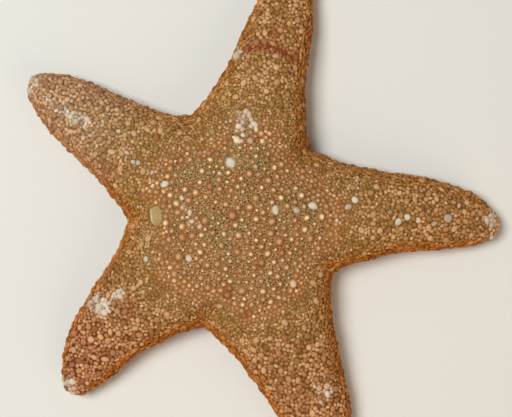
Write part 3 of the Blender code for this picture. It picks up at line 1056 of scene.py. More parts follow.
@dataclass
class CoatPlan:
    """Finds the sites of knobs, cobbles, beads and grains.

    A room is a half-spacing, and a share is that of a piece's radius in its room.
    """

    skin: Skin
    least_gap: float = 0.34 * MM
    density: float = 9.0e6
    knob_clearance: float = 0.15 * MM
    plate_clearance: float = 0.7 * MM
    closed_ground: Pair = (0.7, 0.25)
    bead_ground: Pair = (0.1, 0.5)
    bead_spacing: Pair = (0.3, 0.95)
    bead_room: Pair = (1.0 * MM, 1.95 * MM)
    bead_share: Pair = (0.3, 0.5)
    small_bead_room: Pair = (0.75 * MM, 1.1 * MM)
    small_bead_share: Pair = (0.32, 0.48)
    packed_bead_room: Pair = (0.55 * MM, 0.8 * MM)
    packed_bead_share: float = 0.8
    lump_room: Pair = (0.88 * MM, 1.2 * MM)
    lump_apart: float = 1.35 * MM
    lump_chance: Pair = (0.1, 0.9)
    lump_part: Pair = (0.4, 0.8)
    lump_slope: Pair = (-0.1, 0.25)
    cobble_room: Pair = (0.58 * MM, 0.8 * MM)
    cobble_inner: float = 0.78
    cobble_part: Pair = (0.3, 0.65)
    cobble_flank: float = 0.86
    cobble_slope: Pair = (0.1, 0.6)
    grain_room: Pair = (0.3 * MM, 0.38 * MM)
    sole_room: Pair = (0.8 * MM, 1.15 * MM)
    sole_spread: Pair = (0.85, 1.1)
    sole_sides: Pair = (12.0 * MM, 4.0 * MM)
    fill: float = 1.12
    squeeze: float = 0.84
    cobble_squeeze: float = 0.76
    lowest_flank: float = -0.3
    furrow_part: Pair = (0.95, 0.93)
    furrow_sides: Pair = (3.1 * MM, 4.9 * MM)
    furrow_slope: Pair = (0.3, -0.1)
    furrow_level: float = 6.5 * MM
    mouth_radius: float = 7.0 * MM
    mouth_level: float = 16.0 * MM
    relaxing: int = 10
    relax_push: float = 0.4
    relax_limit: float = 0.5
    touching: float = 1.2
    neighbours: int = 5
    wornsheen_tips: float = 0.5
    wornsheen_part: Pair = (0.94, 1.02)
    wornsheen_chance: Pair = (1.8, 0.85)
    wornsheen_strength: Pair = (0.45, 1.0)

    def __post_init__(self) -> None:
        """Scatter the sites and push them apart."""
        self.random = np.random.default_rng(11)
        self.grid = Hash(2.0 * self.bead_room[1])
        self.found: list[Sites] = []
        self.add_knobs()
        points, normals = self.skin.scattered(self.least_gap, self.density, seed=5)
        order = self.random.permutation(len(points))
        self.points = points[order]
        self.normals = normals[order]
        self.where = self.skin.plan.locate(self.points, self.normals)
        self.open = self.skin.markings.open(self.where)
        closed = smoothstep(self.open, *self.closed_ground)
        self.clear = self.clear_of_fittings()
        self.flank = self.where.up > self.lowest_flank
        self.packed = self.flank & self.by_chance(closed)
        self.add_beads()
        self.add_lumps()
        self.add_grains()
        self.add_soles()
        self.sites = joined_sites(self.found)
        self.relax()
        self.fit_radii()

    def by_chance(self, chance: Array) -> Array:
        """True at random, with a chance of its own for each scattered point."""
        return self.random.random(len(self.points)) < chance

    def spread(self, limits: Pair) -> Array:
        """A random size between two limits for each scattered point."""
        return self.random.uniform(*limits, len(self.points))

    def clear_of_fittings(self) -> Array:
        """Where no mouth, furrow, vent or madreporite takes up the surface.

        Returns:
            True for each scattered point that is clear.
        """
        where = self.where
        low = where.height < self.furrow_level
        furrow = np.zeros(len(self.points), dtype=bool)
        for half, slope, part in zip(self.furrow_sides, self.furrow_slope, self.furrow_part):
            furrow |= (np.abs(where.across) < half) & (where.up < slope) & low & (where.part < part)
        mouth = (where.radius < self.mouth_radius) & (where.height < self.mouth_level)
        markings = self.skin.markings
        vent = markings.by_vent(where, markings.vent_clearance)
        plate = Madreporite(self.skin).covers(self.points, self.plate_clearance)
        return ~(furrow | mouth | vent | plate)

    def add_knobs(self) -> None:
        """Put the large pale knobs in their places."""
        knobs = self.skin.markings.knobs
        places, normals = self.skin.at_spots(knobs)
        radius = np.array([knob.radius * MM for knob in knobs])
        worn = np.array([knob.strength for knob in knobs])
        room = radius + self.knob_clearance
        for point, space in zip(places.tolist(), room.tolist()):
            self.grid.add(tuple(point), space)
        self.found.append(Sites(places, normals, room, radius, np.full(len(knobs), Kind.KNOB.value), worn))

    def throw(
        self, kind: Kind, allowed: Array, room: Array, share: Array | float, squeeze: float,
        apart: float = 0.0,
    ) -> None:
        """Take sites in random order wherever there is room.

        Args:
            kind: Kind of the pieces.
            allowed: Which of the scattered points may be taken.
            room: Half-spacing at each point.
            share: Radius of a piece as a share of its half-spacing.
            squeeze: Share of the full spacing that is enough.
            apart: Half-spacing kept between pieces of this kind, where it is wider.
        """
        others = Hash(max(2.0 * apart, 1.0 * MM))
        taken = []
        places, rooms = self.points.tolist(), room.tolist()
        for index in np.flatnonzero(allowed & self.clear).tolist():
            point = places[index]
            if apart and not others.is_free(point, apart, 1.0):
                continue
            if self.grid.is_free(point, rooms[index], squeeze):
                self.grid.add(tuple(point), rooms[index])
                taken.append(index)
                if apart:
                    others.add(tuple(point), apart)
        rows = np.array(taken, dtype=np.int64)
        kinds = np.full(len(rows), kind.value)
        radius = (room * share)[rows]
        self.found.append(
            Sites(self.points[rows], self.normals[rows], room[rows], radius, kinds, np.zeros(len(rows)))
        )
        LOG.info("%s sites: %d", kind.name.lower(), len(rows))

    def add_beads(self) -> None:
        """Round beads that stand apart on the open ground of the disc, large ones first."""
        ground = self.by_chance(smoothstep(self.open, *self.bead_ground))
        spacing = smoothstep(self.open, *self.bead_spacing)
        packed = self.spread(self.packed_bead_room)
        large = (self.bead_room, self.bead_share)
        small = (self.small_bead_room, self.small_bead_share)
        for limits, shares in (large, small):
            room = mix(packed, self.spread(limits), spacing)
            share = mix(self.packed_bead_share, self.spread(shares), spacing)
            self.throw(Kind.BEAD, ground, room, share, self.squeeze)

    def add_lumps(self) -> None:
        """Cobbles packed close over the flanks and arms, the largest mostly near the tips."""
        outer = mix(*self.lump_chance, smoothstep(self.where.part, *self.lump_part))
        chance = self.by_chance(outer * smoothstep(self.where.up, *self.lump_slope))
        room = self.spread(self.lump_room)
        self.throw(Kind.LUMP, self.packed & chance, room, self.fill, self.squeeze, self.lump_apart)
        room = self.spread(self.cobble_room)
        room = room * mix(self.cobble_flank, 1.0, smoothstep(self.where.up, *self.cobble_slope))
        room *= mix(self.cobble_inner, 1.0, smoothstep(self.where.part, *self.cobble_part))
        self.throw(Kind.LUMP, self.packed, room, self.fill, self.cobble_squeeze)

    def add_grains(self) -> None:
        """Grains in the gaps between the cobbles."""
        room = self.spread(self.grain_room)
        self.throw(Kind.GRAIN, self.packed, room, self.fill, self.squeeze)

    def add_soles(self) -> None:
        """Flat granules of the underside, largest beside the furrows."""
        near = smoothstep(np.abs(self.where.across), *self.sole_sides)
        room = self.spread(self.sole_room) * mix(*self.sole_spread, near)
        self.throw(Kind.SOLE, ~self.flank, room, self.fill, self.cobble_squeeze)

    def crowded(self) -> tuple[Array, Array]:
        """Pairs of sites that stand nearer than their half-spacings allow.

        Returns:
            The first and the second site of each pair.
        """
        points = self.sites.points
        tree = search_tree(points)
        rooms = self.sites.room.tolist()
        reach = max(rooms)
        pairs = []
        for index, point in enumerate(points.tolist()):
            for _, other, away in tree.find_range(point, rooms[index] + reach):
                if other > index and away < rooms[index] + rooms[other]:
                    pairs.append((index, other))
        return tuple(np.array(pairs).T)

    def relax(self) -> None:
        """Push crowded sites apart along the skin, so that they pack evenly."""
        room = self.sites.room
        fixed = self.sites.kind == Kind.KNOB.value
        longest = self.relax_limit * room[:, None]
        for _ in range(self.relaxing):
            points = self.sites.points
            first, second = self.crowded()
            between = points[first] - points[second]
            away = np.linalg.norm(between, axis=1, keepdims=True)
            wanted = (room[first] + room[second])[:, None]
            push = between / np.maximum(away, 1e-9) * (wanted - away) * self.relax_push
            moves = summed(first, push, len(points)) - summed(second, push, len(points))
            moves[fixed] = 0.0
            size = np.linalg.norm(moves, axis=1, keepdims=True)
            moves *= np.minimum(1.0, longest / np.maximum(size, 1e-9))
            self.sites.points, self.sites.normals, _ = self.skin.nearest(points + moves)

    def fit_radii(self) -> None:
        """Shrink the pieces that would still run into a neighbour, and pale some in the pale patches and at
        the tips, partly bleached and partly as a painted sheen.
        """
        sites = self.sites
        tree = search_tree(sites.points)
        limit = np.full(len(sites), np.inf)
        for index, point in enumerate(sites.points.tolist()):
            for _, other, away in tree.find_n(point, self.neighbours):
                if other != index:
                    share = sites.room[index] / (sites.room[index] + sites.room[other])
                    limit[index] = min(limit[index], away * share * self.touching)
        knobs = sites.kind == Kind.KNOB.value
        sites.radius = np.where(knobs, sites.radius, np.minimum(sites.radius, limit))
        where = self.skin.plan.locate(sites.points, sites.normals)
        patches = self.skin.markings.worn(where)
        patches *= 1.0 - self.skin.markings.open(where)
        patches = np.maximum(patches, self.wornsheen_tips * smoothstep(where.part, *self.wornsheen_part))
        # Pieces paled at random, partly bleached and partly as a painted sheen.
        steepness, most = self.wornsheen_chance
        chance = self.random.random(len(sites)) < np.minimum(steepness * patches, most)
        pale = chance * self.random.uniform(*self.wornsheen_strength, len(sites))
        sites.worn = np.maximum(sites.worn, pale)


# ---- small turned shapes


@dataclass(frozen=True)
class Turned:
    """A small shape turned about Z, closed at both ends.

    profile gives (radius, height) for each ring from the top down, and pits how far down a pit
    the first rings lie. show is 1 where the shape has its own colour from foot to top, and 0
    where it has the ground's.
    """

    name: str
    sides: int
    profile: tuple[Pair, ...]
    pits: tuple[float, ...] = ()
    show: float = 1.0

    def build(self) -> Object:
        """Make the shape.

        Returns:
            An object to be copied over the sites.
        """
        points, depths, rings = [], [], []
        for (radius, height), pit in zip_longest(self.profile, self.pits, fillvalue=0.0):
            count = 1 if radius == 0.0 else self.sides
            rings.append(list(range(len(points), len(points) + count)))
            for step in range(count):
                angle = math.tau * step / count
                points.append((radius * math.cos(angle), radius * math.sin(angle), height))
                depths.append(pit)
        faces = []
        for upper, lower in zip(rings, rings[1:]):
            for step in range(self.sides):
                following = (step + 1) % self.sides
                corners = [upper[step % len(upper)], lower[step % len(lower)]]
                corners += [lower[following % len(lower)], upper[following % len(upper)]]
                faces.append(tuple(dict.fromkeys(corners)))
        mesh = bpy.data.meshes.new(self.name)
        mesh.from_pydata(points, [], faces)
        spots = np.array(points)
        heights = spots[:, 2]
        rise = self.show * (heights - heights.min()) / (heights.max() - heights.min())
        put_attribute(mesh, "rise", rise)
        put_attribute(mesh, "pit", np.array(depths))
        put_attribute(mesh, "spot", spots / spots[:, :2].max())
        return new_object(self.name, mesh)


def dome(name: str, sides: int, steps: int, foot: float, show: float = 1.0) -> Turned:
    """Round bead that is sunk in the skin.

    Args:
        name: Name of the shape.
        sides: Sides all round.
        steps: Rings between the top and the foot.
        foot: How far the bead goes on below its widest place, in degrees.
        show: How far it shows its own colour.

    Returns:
        The shape.
    """
    profile = [(0.0, 1.0)]
    for step in range(1, steps + 1):
        angle = math.radians((90.0 + foot) * step / steps)
        profile.append((math.sin(angle), math.cos(angle)))
    profile.append((0.0, profile[-1][1] - 0.05))
    return Turned(name, sides, tuple(profile), show=show)


POLISHED_DOME = dome("polished_dome", 12, 5, 30.0)
SPECK_DOME = dome("speck_dome", 6, 2, 15.0, show=0.6)
MOUND_BEAD = Turned("mound_bead", 9, (
    (0.0, 1.0), (0.4, 0.93), (0.78, 0.68), (1.05, 0.34), (1.45, 0.08), (1.95, -0.14), (0.0, -0.3),
))
SOFT_LUMP = Turned("soft_lump", 9, (
    (0.0, 1.0), (0.52, 0.9), (0.86, 0.62), (1.08, 0.12), (1.1, -0.4), (0.0, -0.45),
))
GRAIN_DOME = Turned("grain_dome", 6, ((0.0, 1.0), (0.62, 0.8), (0.98, 0.25), (0.98, -0.3), (0.0, -0.35)))
FILLER_DOME = replace(GRAIN_DOME, name="filler_dome", show=0.6)
BLUNT_SPINE = Turned("blunt_spine", 7, (
    (0.0, 1.0), (0.6, 0.96), (1.0, 0.8), (1.0, 0.3), (0.75, -0.08), (0.0, -0.1),
))
# The pits of the pore rims and the vent rim are painted dark by the tint: painted shade in the holes.
PORE_RIM = Turned("pore_rim", 7, (
    (0.0, 0.08), (0.66, 0.16), (0.84, 0.75), (1.12, 0.45), (1.5, -0.3), (0.0, -0.5),
), pits=(1.0, 1.0, 0.15), show=0.0)
VENT_RIM = Turned("vent_rim", 14, (
    (0.0, 0.3), (0.62, 0.34), (0.8, 0.95), (1.0, 0.85), (1.4, -0.1), (0.0, -0.5),
), pits=(1.0, 1.0, 0.3), show=0.0)


# ---- finishes


class ShaderMaker(NodeMaker):
    """Adds shader nodes to a material or a group."""

    def place(self) -> NodeSocket:
        """Place on the star."""
        return self.node("ShaderNodeTexCoord").outputs["Object"]

    def attribute(self, name: str) -> NodeSocket:
        """Output that reads a number that the mesh holds."""
        return self.node("ShaderNodeAttribute", {"attribute_name": name}).outputs["Fac"]

    def step(self, value: object, low: object, high: object) -> NodeSocket:
        """Smooth rise from 0 at low to 1 at high."""
        smooth = {"interpolation_type": "SMOOTHSTEP"}
        return self.node("ShaderNodeMapRange", smooth, Value=value, From_Min=low, From_Max=high).outputs[0]

    def blend(self, start: object, end: object, share: object) -> NodeSocket:
        """Colour a share of the way from one to another."""
        node = self.node("ShaderNodeMix", {"data_type": "RGBA"}, Factor=share, A=start, B=end)
        return next(socket for socket in node.outputs if socket.enabled)

    def noise(self, place: object, width: float, detail: float = 2.0) -> NodeSocket:
        """Noise whose patches are about a width across."""
        return self.node("ShaderNodeTexNoise", Vector=place, Scale=1.0 / width, Detail=detail).outputs["Fac"]


@dataclass(frozen=True)
class Palette:
    """Colours of the dry star."""

    ground: Rgba = linear(195, 160, 111)
    green_ground: Rgba = linear(175, 155, 106)
    halo: Rgba = linear(170, 112, 56)
    # Colours of the crevices: the skin's own orange-brown, darkened as painted shade in the gaps between
    # packed pieces.
    crevice_shade: Rgba = linear(142, 104, 42)
    warm_crevice: Rgba = linear(120, 58, 6)
    tip_crevice_shade: Rgba = linear(116, 54, 12)
    khaki_grain: Rgba = linear(176, 134, 78)
    # Orange of the flanks: partly the skin's own, partly painted warm bounce light.
    orange_grain: Rgba = linear(190, 112, 14)
    tip_grain: Rgba = linear(196, 136, 96)
    pink_grain: Rgba = linear(212, 166, 124)
    bead: Rgba = linear(230, 184, 148)
    cream_bead: Rgba = linear(238, 212, 176)
    # Pale of bleached patches and knobs; in the patches it is partly a painted sheen.
    worn: Rgba = linear(222, 212, 194)
    plate: Rgba = linear(192, 162, 104)
    blush: Rgba = linear(146, 66, 34)
    # Dark of the pores and the vent: painted shade in the holes.
    pore: Rgba = linear(80, 32, 0)
    under: Rgba = linear(214, 176, 128)


PALETTE = Palette()
TINT = "Dry Star Tint"
TINT_INPUTS = ("Rise", "Warm", "Packed", "Boss", "Pit", "Worn", "Tone", "Blush", "Under", "Tip")


class TintMaker(ShaderMaker):
    """Makes the one shader group that gives skin and coat their colour, roughness and height.

    Rise is how far up its own shape a point lies, Packed how close the pieces stand, Boss how
    near a bead is, Pit how far down one of the pores it is, and Tone how light the piece is. The
    feet of packed pieces and the pits are painted dark as shade, and the crowns paler, partly as a
    painted highlight. The other inputs are the star's markings.
    """

    mottle_width: float = 9.0 * MM
    broad_width: float = 5.5 * MM
    dapple_width: float = 2.4 * MM
    grit_width: float = 0.35 * MM
    halo_most: float = 0.8
    crevice_shade_most: float = 0.85
    blush_most: float = 0.86
    under_most: float = 0.45
    pit_shade_most: float = 0.97

    def __init__(self) -> None:
        """Start the group and its sockets, and make the patterns and the crevices' shared colour, a painted
        shade.
        """
        super().__init__(bpy.data.node_groups.new(TINT, "ShaderNodeTree"))
        self.sockets("INPUT", {"Place": "Vector", **dict.fromkeys(TINT_INPUTS, "Float")})
        self.sockets("OUTPUT", {"Color": "Color", "Roughness": "Float", "Height": "Float"})
        self.given = self.node("NodeGroupInput").outputs
        place = self.given["Place"]
        self.mottle = self.noise(place, self.mottle_width, 3.0)
        self.broad = self.noise(place, self.broad_width)
        self.dapple = self.noise(place, self.dapple_width)
        self.grit = self.noise(place, self.grit_width, 3.0)
        # The crevices' colour is painted shade, darker still at the tips and on the warm flanks.
        crevice_shade = self.blend(PALETTE.crevice_shade, PALETTE.tip_crevice_shade, self.given["Tip"])
        self.crevice_shade = self.blend(crevice_shade, PALETTE.warm_crevice, self.given["Warm"])

    def build(self) -> NodeTree:
        """Make the group.

        Returns:
            The group.
        """
        given = self.given
        color = self.blend(self.ground(), self.piece(), self.step(given["Rise"], 0.1, 0.3))
        # Bleached patches pale the colour, partly as a painted sheen.
        worn = self.times(given["Worn"], self.times(self.grit, 0.35, 0.72), clamp=True)
        color = self.blend(color, PALETTE.blush, self.times(given["Blush"], self.blush_most))
        color = self.blend(color, PALETTE.worn, worn)
        color = self.blend(color, PALETTE.under, self.times(given["Under"], self.under_most))
        # Painted shade: the pits of the pores and the vent go dark.
        color = self.blend(color, PALETTE.pore, self.times(given["Pit"], self.pit_shade_most))
        speckle = self.times(self.grit, 0.5, 0.75)
        speckle = self.times(speckle, self.times(given["Tone"], 0.12, 1.0))
        speckle = self.times(speckle, self.times(self.dapple, 0.5, 0.72))
        results = {
            "Color": self.scaled(color, speckle),
            "Roughness": self.times(given["Worn"], -0.08, self.times(self.grit, 0.25, 0.5)),
            "Height": self.math("ADD", self.grit, self.times(self.dapple, 0.6)),
        }
        self.fill(self.node("NodeGroupOutput"), results)
        return self.tree

    def ground(self) -> NodeSocket:
        """Colour between the pieces: mottled tan, browner round the beads, and dark where they pack, a
        painted shade.

        Returns:
            The colour.
        """
        ground = self.blend(PALETTE.ground, PALETTE.green_ground, self.step(self.mottle, 0.42, 0.6))
        browned = self.times(self.broad, 1.6, -0.55)
        halo = self.times(self.step(self.given["Boss"], 0.0, 1.0), 0.7)
        halo = self.times(self.math("ADD", halo, browned, clamp=True), self.halo_most)
        ground = self.blend(ground, PALETTE.halo, halo)
        # Painted shade: the ground goes dark where the pieces pack close.
        return self.blend(ground, self.crevice_shade, self.times(self.given["Packed"], self.crevice_shade_most))

    def piece(self) -> NodeSocket:
        """Colour of a bead or grain, from its foot to its paler crown: where the pieces pack, the foot is
        dark as painted shade; the paler crown is partly the tubercles' own pale tips and partly a painted
        highlight.

        Returns:
            The colour.
        """
        rise, tone, packed = (self.given[name] for name in ("Rise", "Tone", "Packed"))
        # Painted shade: the foot of a packed piece takes the crevices' dark colour.
        foot = self.blend(PALETTE.halo, self.crevice_shade, packed)
        bead = self.step(self.math("ADD", self.mottle, tone), 0.3, 1.1)
        bead = self.blend(PALETTE.bead, PALETTE.cream_bead, bead)
        top = self.blend(bead, self.grain(), packed)
        lift = self.math("ADD", rise, self.times(self.grit, 0.24, -0.12))
        vivid = {"Value": tone, "From_Min": -0.8, "From_Max": 0.4, "To_Min": 0.45, "To_Max": 1.0}
        vivid = self.node("ShaderNodeMapRange", **vivid).outputs["Result"]
        low = self.times(packed, 0.12, 0.3)
        high = self.times(packed, -0.08, 0.94)
        # Painted highlight: the top's colour shows only towards each piece's crown.
        shown = self.times(self.step(lift, low, high), vivid)
        half_packed = self.times(packed, self.times(packed, -1.0, 1.0))
        shown = self.times(shown, self.times(half_packed, -1.2, 1.0))
        return self.blend(foot, top, shown)

    def grain(self) -> NodeSocket:
        """Colour of a cobble's or grain's top.

        Returns:
            The colour: khaki, redder at the tips, orange on the flanks (partly painted warm bounce light),
                pink where it is pale, and paler pink on its crown as a painted highlight.
        """
        rise, tone, warm = (self.given[name] for name in ("Rise", "Tone", "Warm"))
        grain = self.blend(PALETTE.khaki_grain, PALETTE.tip_grain, self.given["Tip"])
        warmth = self.math("ADD", warm, self.times(self.dapple, 1.2, -0.64), clamp=True)
        grain = self.blend(grain, PALETTE.orange_grain, warmth)
        blanched = self.times(self.step(tone, 0.1, 1.0), self.times(warm, -0.85, 1.0))
        grain = self.blend(grain, PALETTE.pink_grain, blanched)
        # Painted highlight: the crown turns pink, less so on the warm flanks.
        crown = self.times(self.step(rise, 0.7, 1.0), self.times(warm, -0.4, 0.5))
        crown = self.times(crown, self.step(tone, -0.5, 0.4))
        return self.blend(grain, PALETTE.pink_grain, crown)


def tinted(make: ShaderMaker) -> bpy.types.bpy_prop_collection:
    """Place the shared tint in a material, fed from the piece's attributes.

    Args:
        make: Maker of the material's nodes.

    Returns:
        The tint's outputs.
    """
    group = bpy.data.node_groups[TINT] if TINT in bpy.data.node_groups else TintMaker().build()
    node = make.node("ShaderNodeGroup", {"node_tree": group}, Place=make.place())
    make.fill(node, {name: make.attribute(name.lower()) for name in TINT_INPUTS})
    return node.outputs


@dataclass(frozen=True)
class CoatFinish:
    """Finish of a coat piece: the shared tint, a faint sheen and fine bumps."""

    name: str
    specular: float = 0.13
    bump: float = 0.25
    bump_depth: float = 0.12 * MM

    def surface(self, make: ShaderMaker) -> Surface:
        """Colour, roughness and height of the surface."""
        tint = tinted(make)
        return tint["Color"], tint["Roughness"], tint["Height"]

    def material(self) -> Material:
        """Make the material.

        Returns:
            A material that reads Object coordinates and the piece's own attributes.
        """
        material = bpy.data.materials.new(self.name)
        material.use_nodes = True
        make = ShaderMaker(material.node_tree)
        color, roughness, height = self.surface(make)
        bump = make.node("ShaderNodeBump", Strength=self.bump, Distance=self.bump_depth, Height=height)
        results = {"Base Color": color, "Roughness": roughness, "Normal": bump.outputs["Normal"]}
        results["Specular IOR Level"] = self.specular
        make.fill(material.node_tree.nodes["Principled BSDF"], results)
        return material


@dataclass(frozen=True)
class SkinFinish(CoatFinish):
    """Finish of the skin, with fine pores between low grains, their dark a painted shade."""

    bump: float = 0.7
    bump_depth: float = 0.25 * MM
    pore_width: float = 0.85 * MM

    def surface(self, make: ShaderMaker) -> Surface:
        """The shared tint, with pores where the ground is open, painted dark as shade in the holes.

        Args:
            make: Maker of the material's nodes.

        Returns:
            Outputs that give colour, roughness and height.
        """
        tint = tinted(make)
        cells = make.node("ShaderNodeTexVoronoi", Vector=make.place(), Scale=1.0 / self.pore_width)
        pores = make.step(cells.outputs["Distance"], 0.34, 0.16)
        open_ground = make.times(make.attribute("packed"), -0.75, 0.8)
        # Painted shade: the pores go dark where the ground is open.
        color = make.blend(tint["Color"], PALETTE.pore, make.times(pores, open_ground))
        return color, tint["Roughness"], make.times(pores, -1.0, make.times(tint["Height"], 0.5))


@dataclass(frozen=True)
class PlateFinish(CoatFinish):
    """Finish of the madreporite, with a paler band along one side, a painted highlight."""

    specular: float = 0.22
    bump: float = 0.5
    bump_depth: float = 0.1 * MM
    side_highlight: float = 0.85
    groove_shade: float = 0.55
    mottle_width: float = 1.6 * MM
    grit_width: float = 0.3 * MM

    def surface(self, make: ShaderMaker) -> Surface:
        """Mottled plate with dark grooves, a painted shade, and a painted highlight along one side.

        Args:
            make: Maker of the material's nodes.

        Returns:
            Outputs that give colour, roughness and height.
        """
        mottle = make.noise(make.place(), self.mottle_width, 3.0)
        grit = make.noise(make.place(), self.grit_width, 3.0)
        color = make.blend(PALETTE.plate, PALETTE.green_ground, make.step(mottle, 0.4, 0.65))
        # Painted highlight along one side of the plate.
        side_highlight = make.times(make.step(make.attribute("side"), 0.25, 0.75), self.side_highlight)
        color = make.blend(color, PALETTE.cream_bead, side_highlight)
        # Painted shade in the grooves.
        groove = make.times(make.attribute("groove"), self.groove_shade)
        color = make.blend(color, PALETTE.crevice_shade, groove)
        return make.scaled(color, make.times(grit, 0.4, 0.74)), make.times(grit, 0.25, 0.45), grit


# ---- coat pieces


@dataclass
class Layer:
    """One layer of the coat: shapes of one sort on a set of sites.

    lump_width and lump_height are those of the unevenness of its pieces, and tone the middle and
    the spread of their lightness.
    """

    name: str
    shape: Turned
    finish: CoatFinish
    slot: str
    lump_width: float
    lump_height: float
    tone: Pair = (0.0, 0.45)

    def build(
        self, skin: Skin, places: Array, lies: Array, sizes: Array, marks: dict[str, Array], seed: int,
        heads: Array | None = None,
    ) -> list[Object]:
        """Set the shapes on their sites.

        Args:
            skin: Skin that carries them.
            places: Root of each shape.
            lies: Way each shape stands.
            sizes: Half-sizes of each shape.
            marks: Markings of each shape by attribute name. A mark "dull" lowers its tone.
            seed: Seed of the turns and tones.
            heads: Way the first half-size points. It is random where none is given.

        Returns:
            The layer's pieces, each below the limit of triangles.
        """
        random = np.random.default_rng(seed)
        count = len(places)
        _, _, beside = skin.nearest(places)
        if heads is None:
            heads = random.normal(size=places.shape)
        tone = random.normal(*self.tone, count) - marks.pop("dull", np.zeros(count))
        values = {
            "turn": euler_angles(lies, heads),
            "size": sizes,
            "tone": np.clip(tone, -1.0, 1.0),
            "root": np.column_stack((skin.flat[beside], np.zeros(count))),
            **marks,
        }
        shape = self.shape.build()
        tree = coat_tree()
        lumps = {"Lump_Width": self.lump_width, "Lump_Height": self.lump_height}
        material = self.finish.material()
        triangles = count * sum(len(face.vertices) - 2 for face in shape.data.polygons)
        parts = max(1, math.ceil(triangles / MOST_TRIANGLES))
        by_arm = np.argsort(skin.plan.locate(places, lies).arm, kind="stable")
        pieces = []
        for part, rows in enumerate(np.array_split(by_arm, parts), 1):
            name = self.name if parts == 1 else f"{self.name}_{part}"
            base = bpy.data.meshes.new(f"{name}_sites")
            base.from_pydata(places[rows].tolist(), [], [])
            for mark, numbers in values.items():
                put_attribute(base, mark, numbers[rows])
            carrier = new_object(f"{name}_carrier", base)
            mesh = tree.run(carrier, Shape=shape, Material=material, **lumps)
            bpy.data.objects.remove(carrier)
            self.finish_mesh(mesh)
            piece = new_object(name, mesh)
            piece.data.name = name
            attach(piece, BODY)
            pieces.append(piece)
        bpy.data.objects.remove(shape)
        LOG.info("%s: %d shapes, %d triangles, %d pieces", self.name, count, triangles, parts)
        return pieces

    def finish_mesh(self, mesh: Mesh) -> None:
        """Keep a piece in the frame's box and give it its small bake patches.

        Args:
            mesh: Mesh of the piece.
        """
        points = np.clip(vertex_array(mesh), CAD_LOW + BOX_MARGIN, CAD_HIGH - BOX_MARGIN)
        mesh.vertices.foreach_set("co", points.ravel())
        roots, spots = (read(mesh.attributes[name].data, "vector", 3)[:, :2] for name in ("root", "spot"))
        put_bake_map(mesh, roots + spots * (BAKE_PATCH / 2.0))
        for name in ("root", "spot", "turn", "size"):
            if name in mesh.attributes:
                mesh.attributes.remove(mesh.attributes[name])
        mesh.update()


def euler_angles(lies: Array, heads: Array) -> Array:
    """Euler angles that stand shapes up and turn them.

    Args:
        lies: Where each shape's Z axis points.
        heads: About where its X axis points.

    Returns:
        Angles about X, Y and Z.
    """
    third = unit(lies)
    second = unit(np.cross(third, heads))
    first = np.cross(second, third)
    about_x = np.arctan2(second[:, 2], third[:, 2])
    about_y = np.arcsin(np.clip(-first[:, 2], -1.0, 1.0))
    about_z = np.arctan2(first[:, 1], first[:, 0])
    return np.column_stack((about_x, about_y, about_z))


@dataclass(frozen=True)
class Small:
    """How small pieces fill the gaps: where they lie, how many there are, and how large.

    chances are those on closed and on open ground, ground is where one gives way to the other,
    width is in millimetres, stretch is how far pieces are out of round, and height is a share of
    the width.
    """

    gap: float
    seed: int
    reach: float
    chances: Pair
    ground: Pair
    width: Pair
    height: float
    stretch: Pair | None = None
    density: float = 8.0e6
    plate_clearance: float = 0.25 * MM
    overlap: float = 0.1


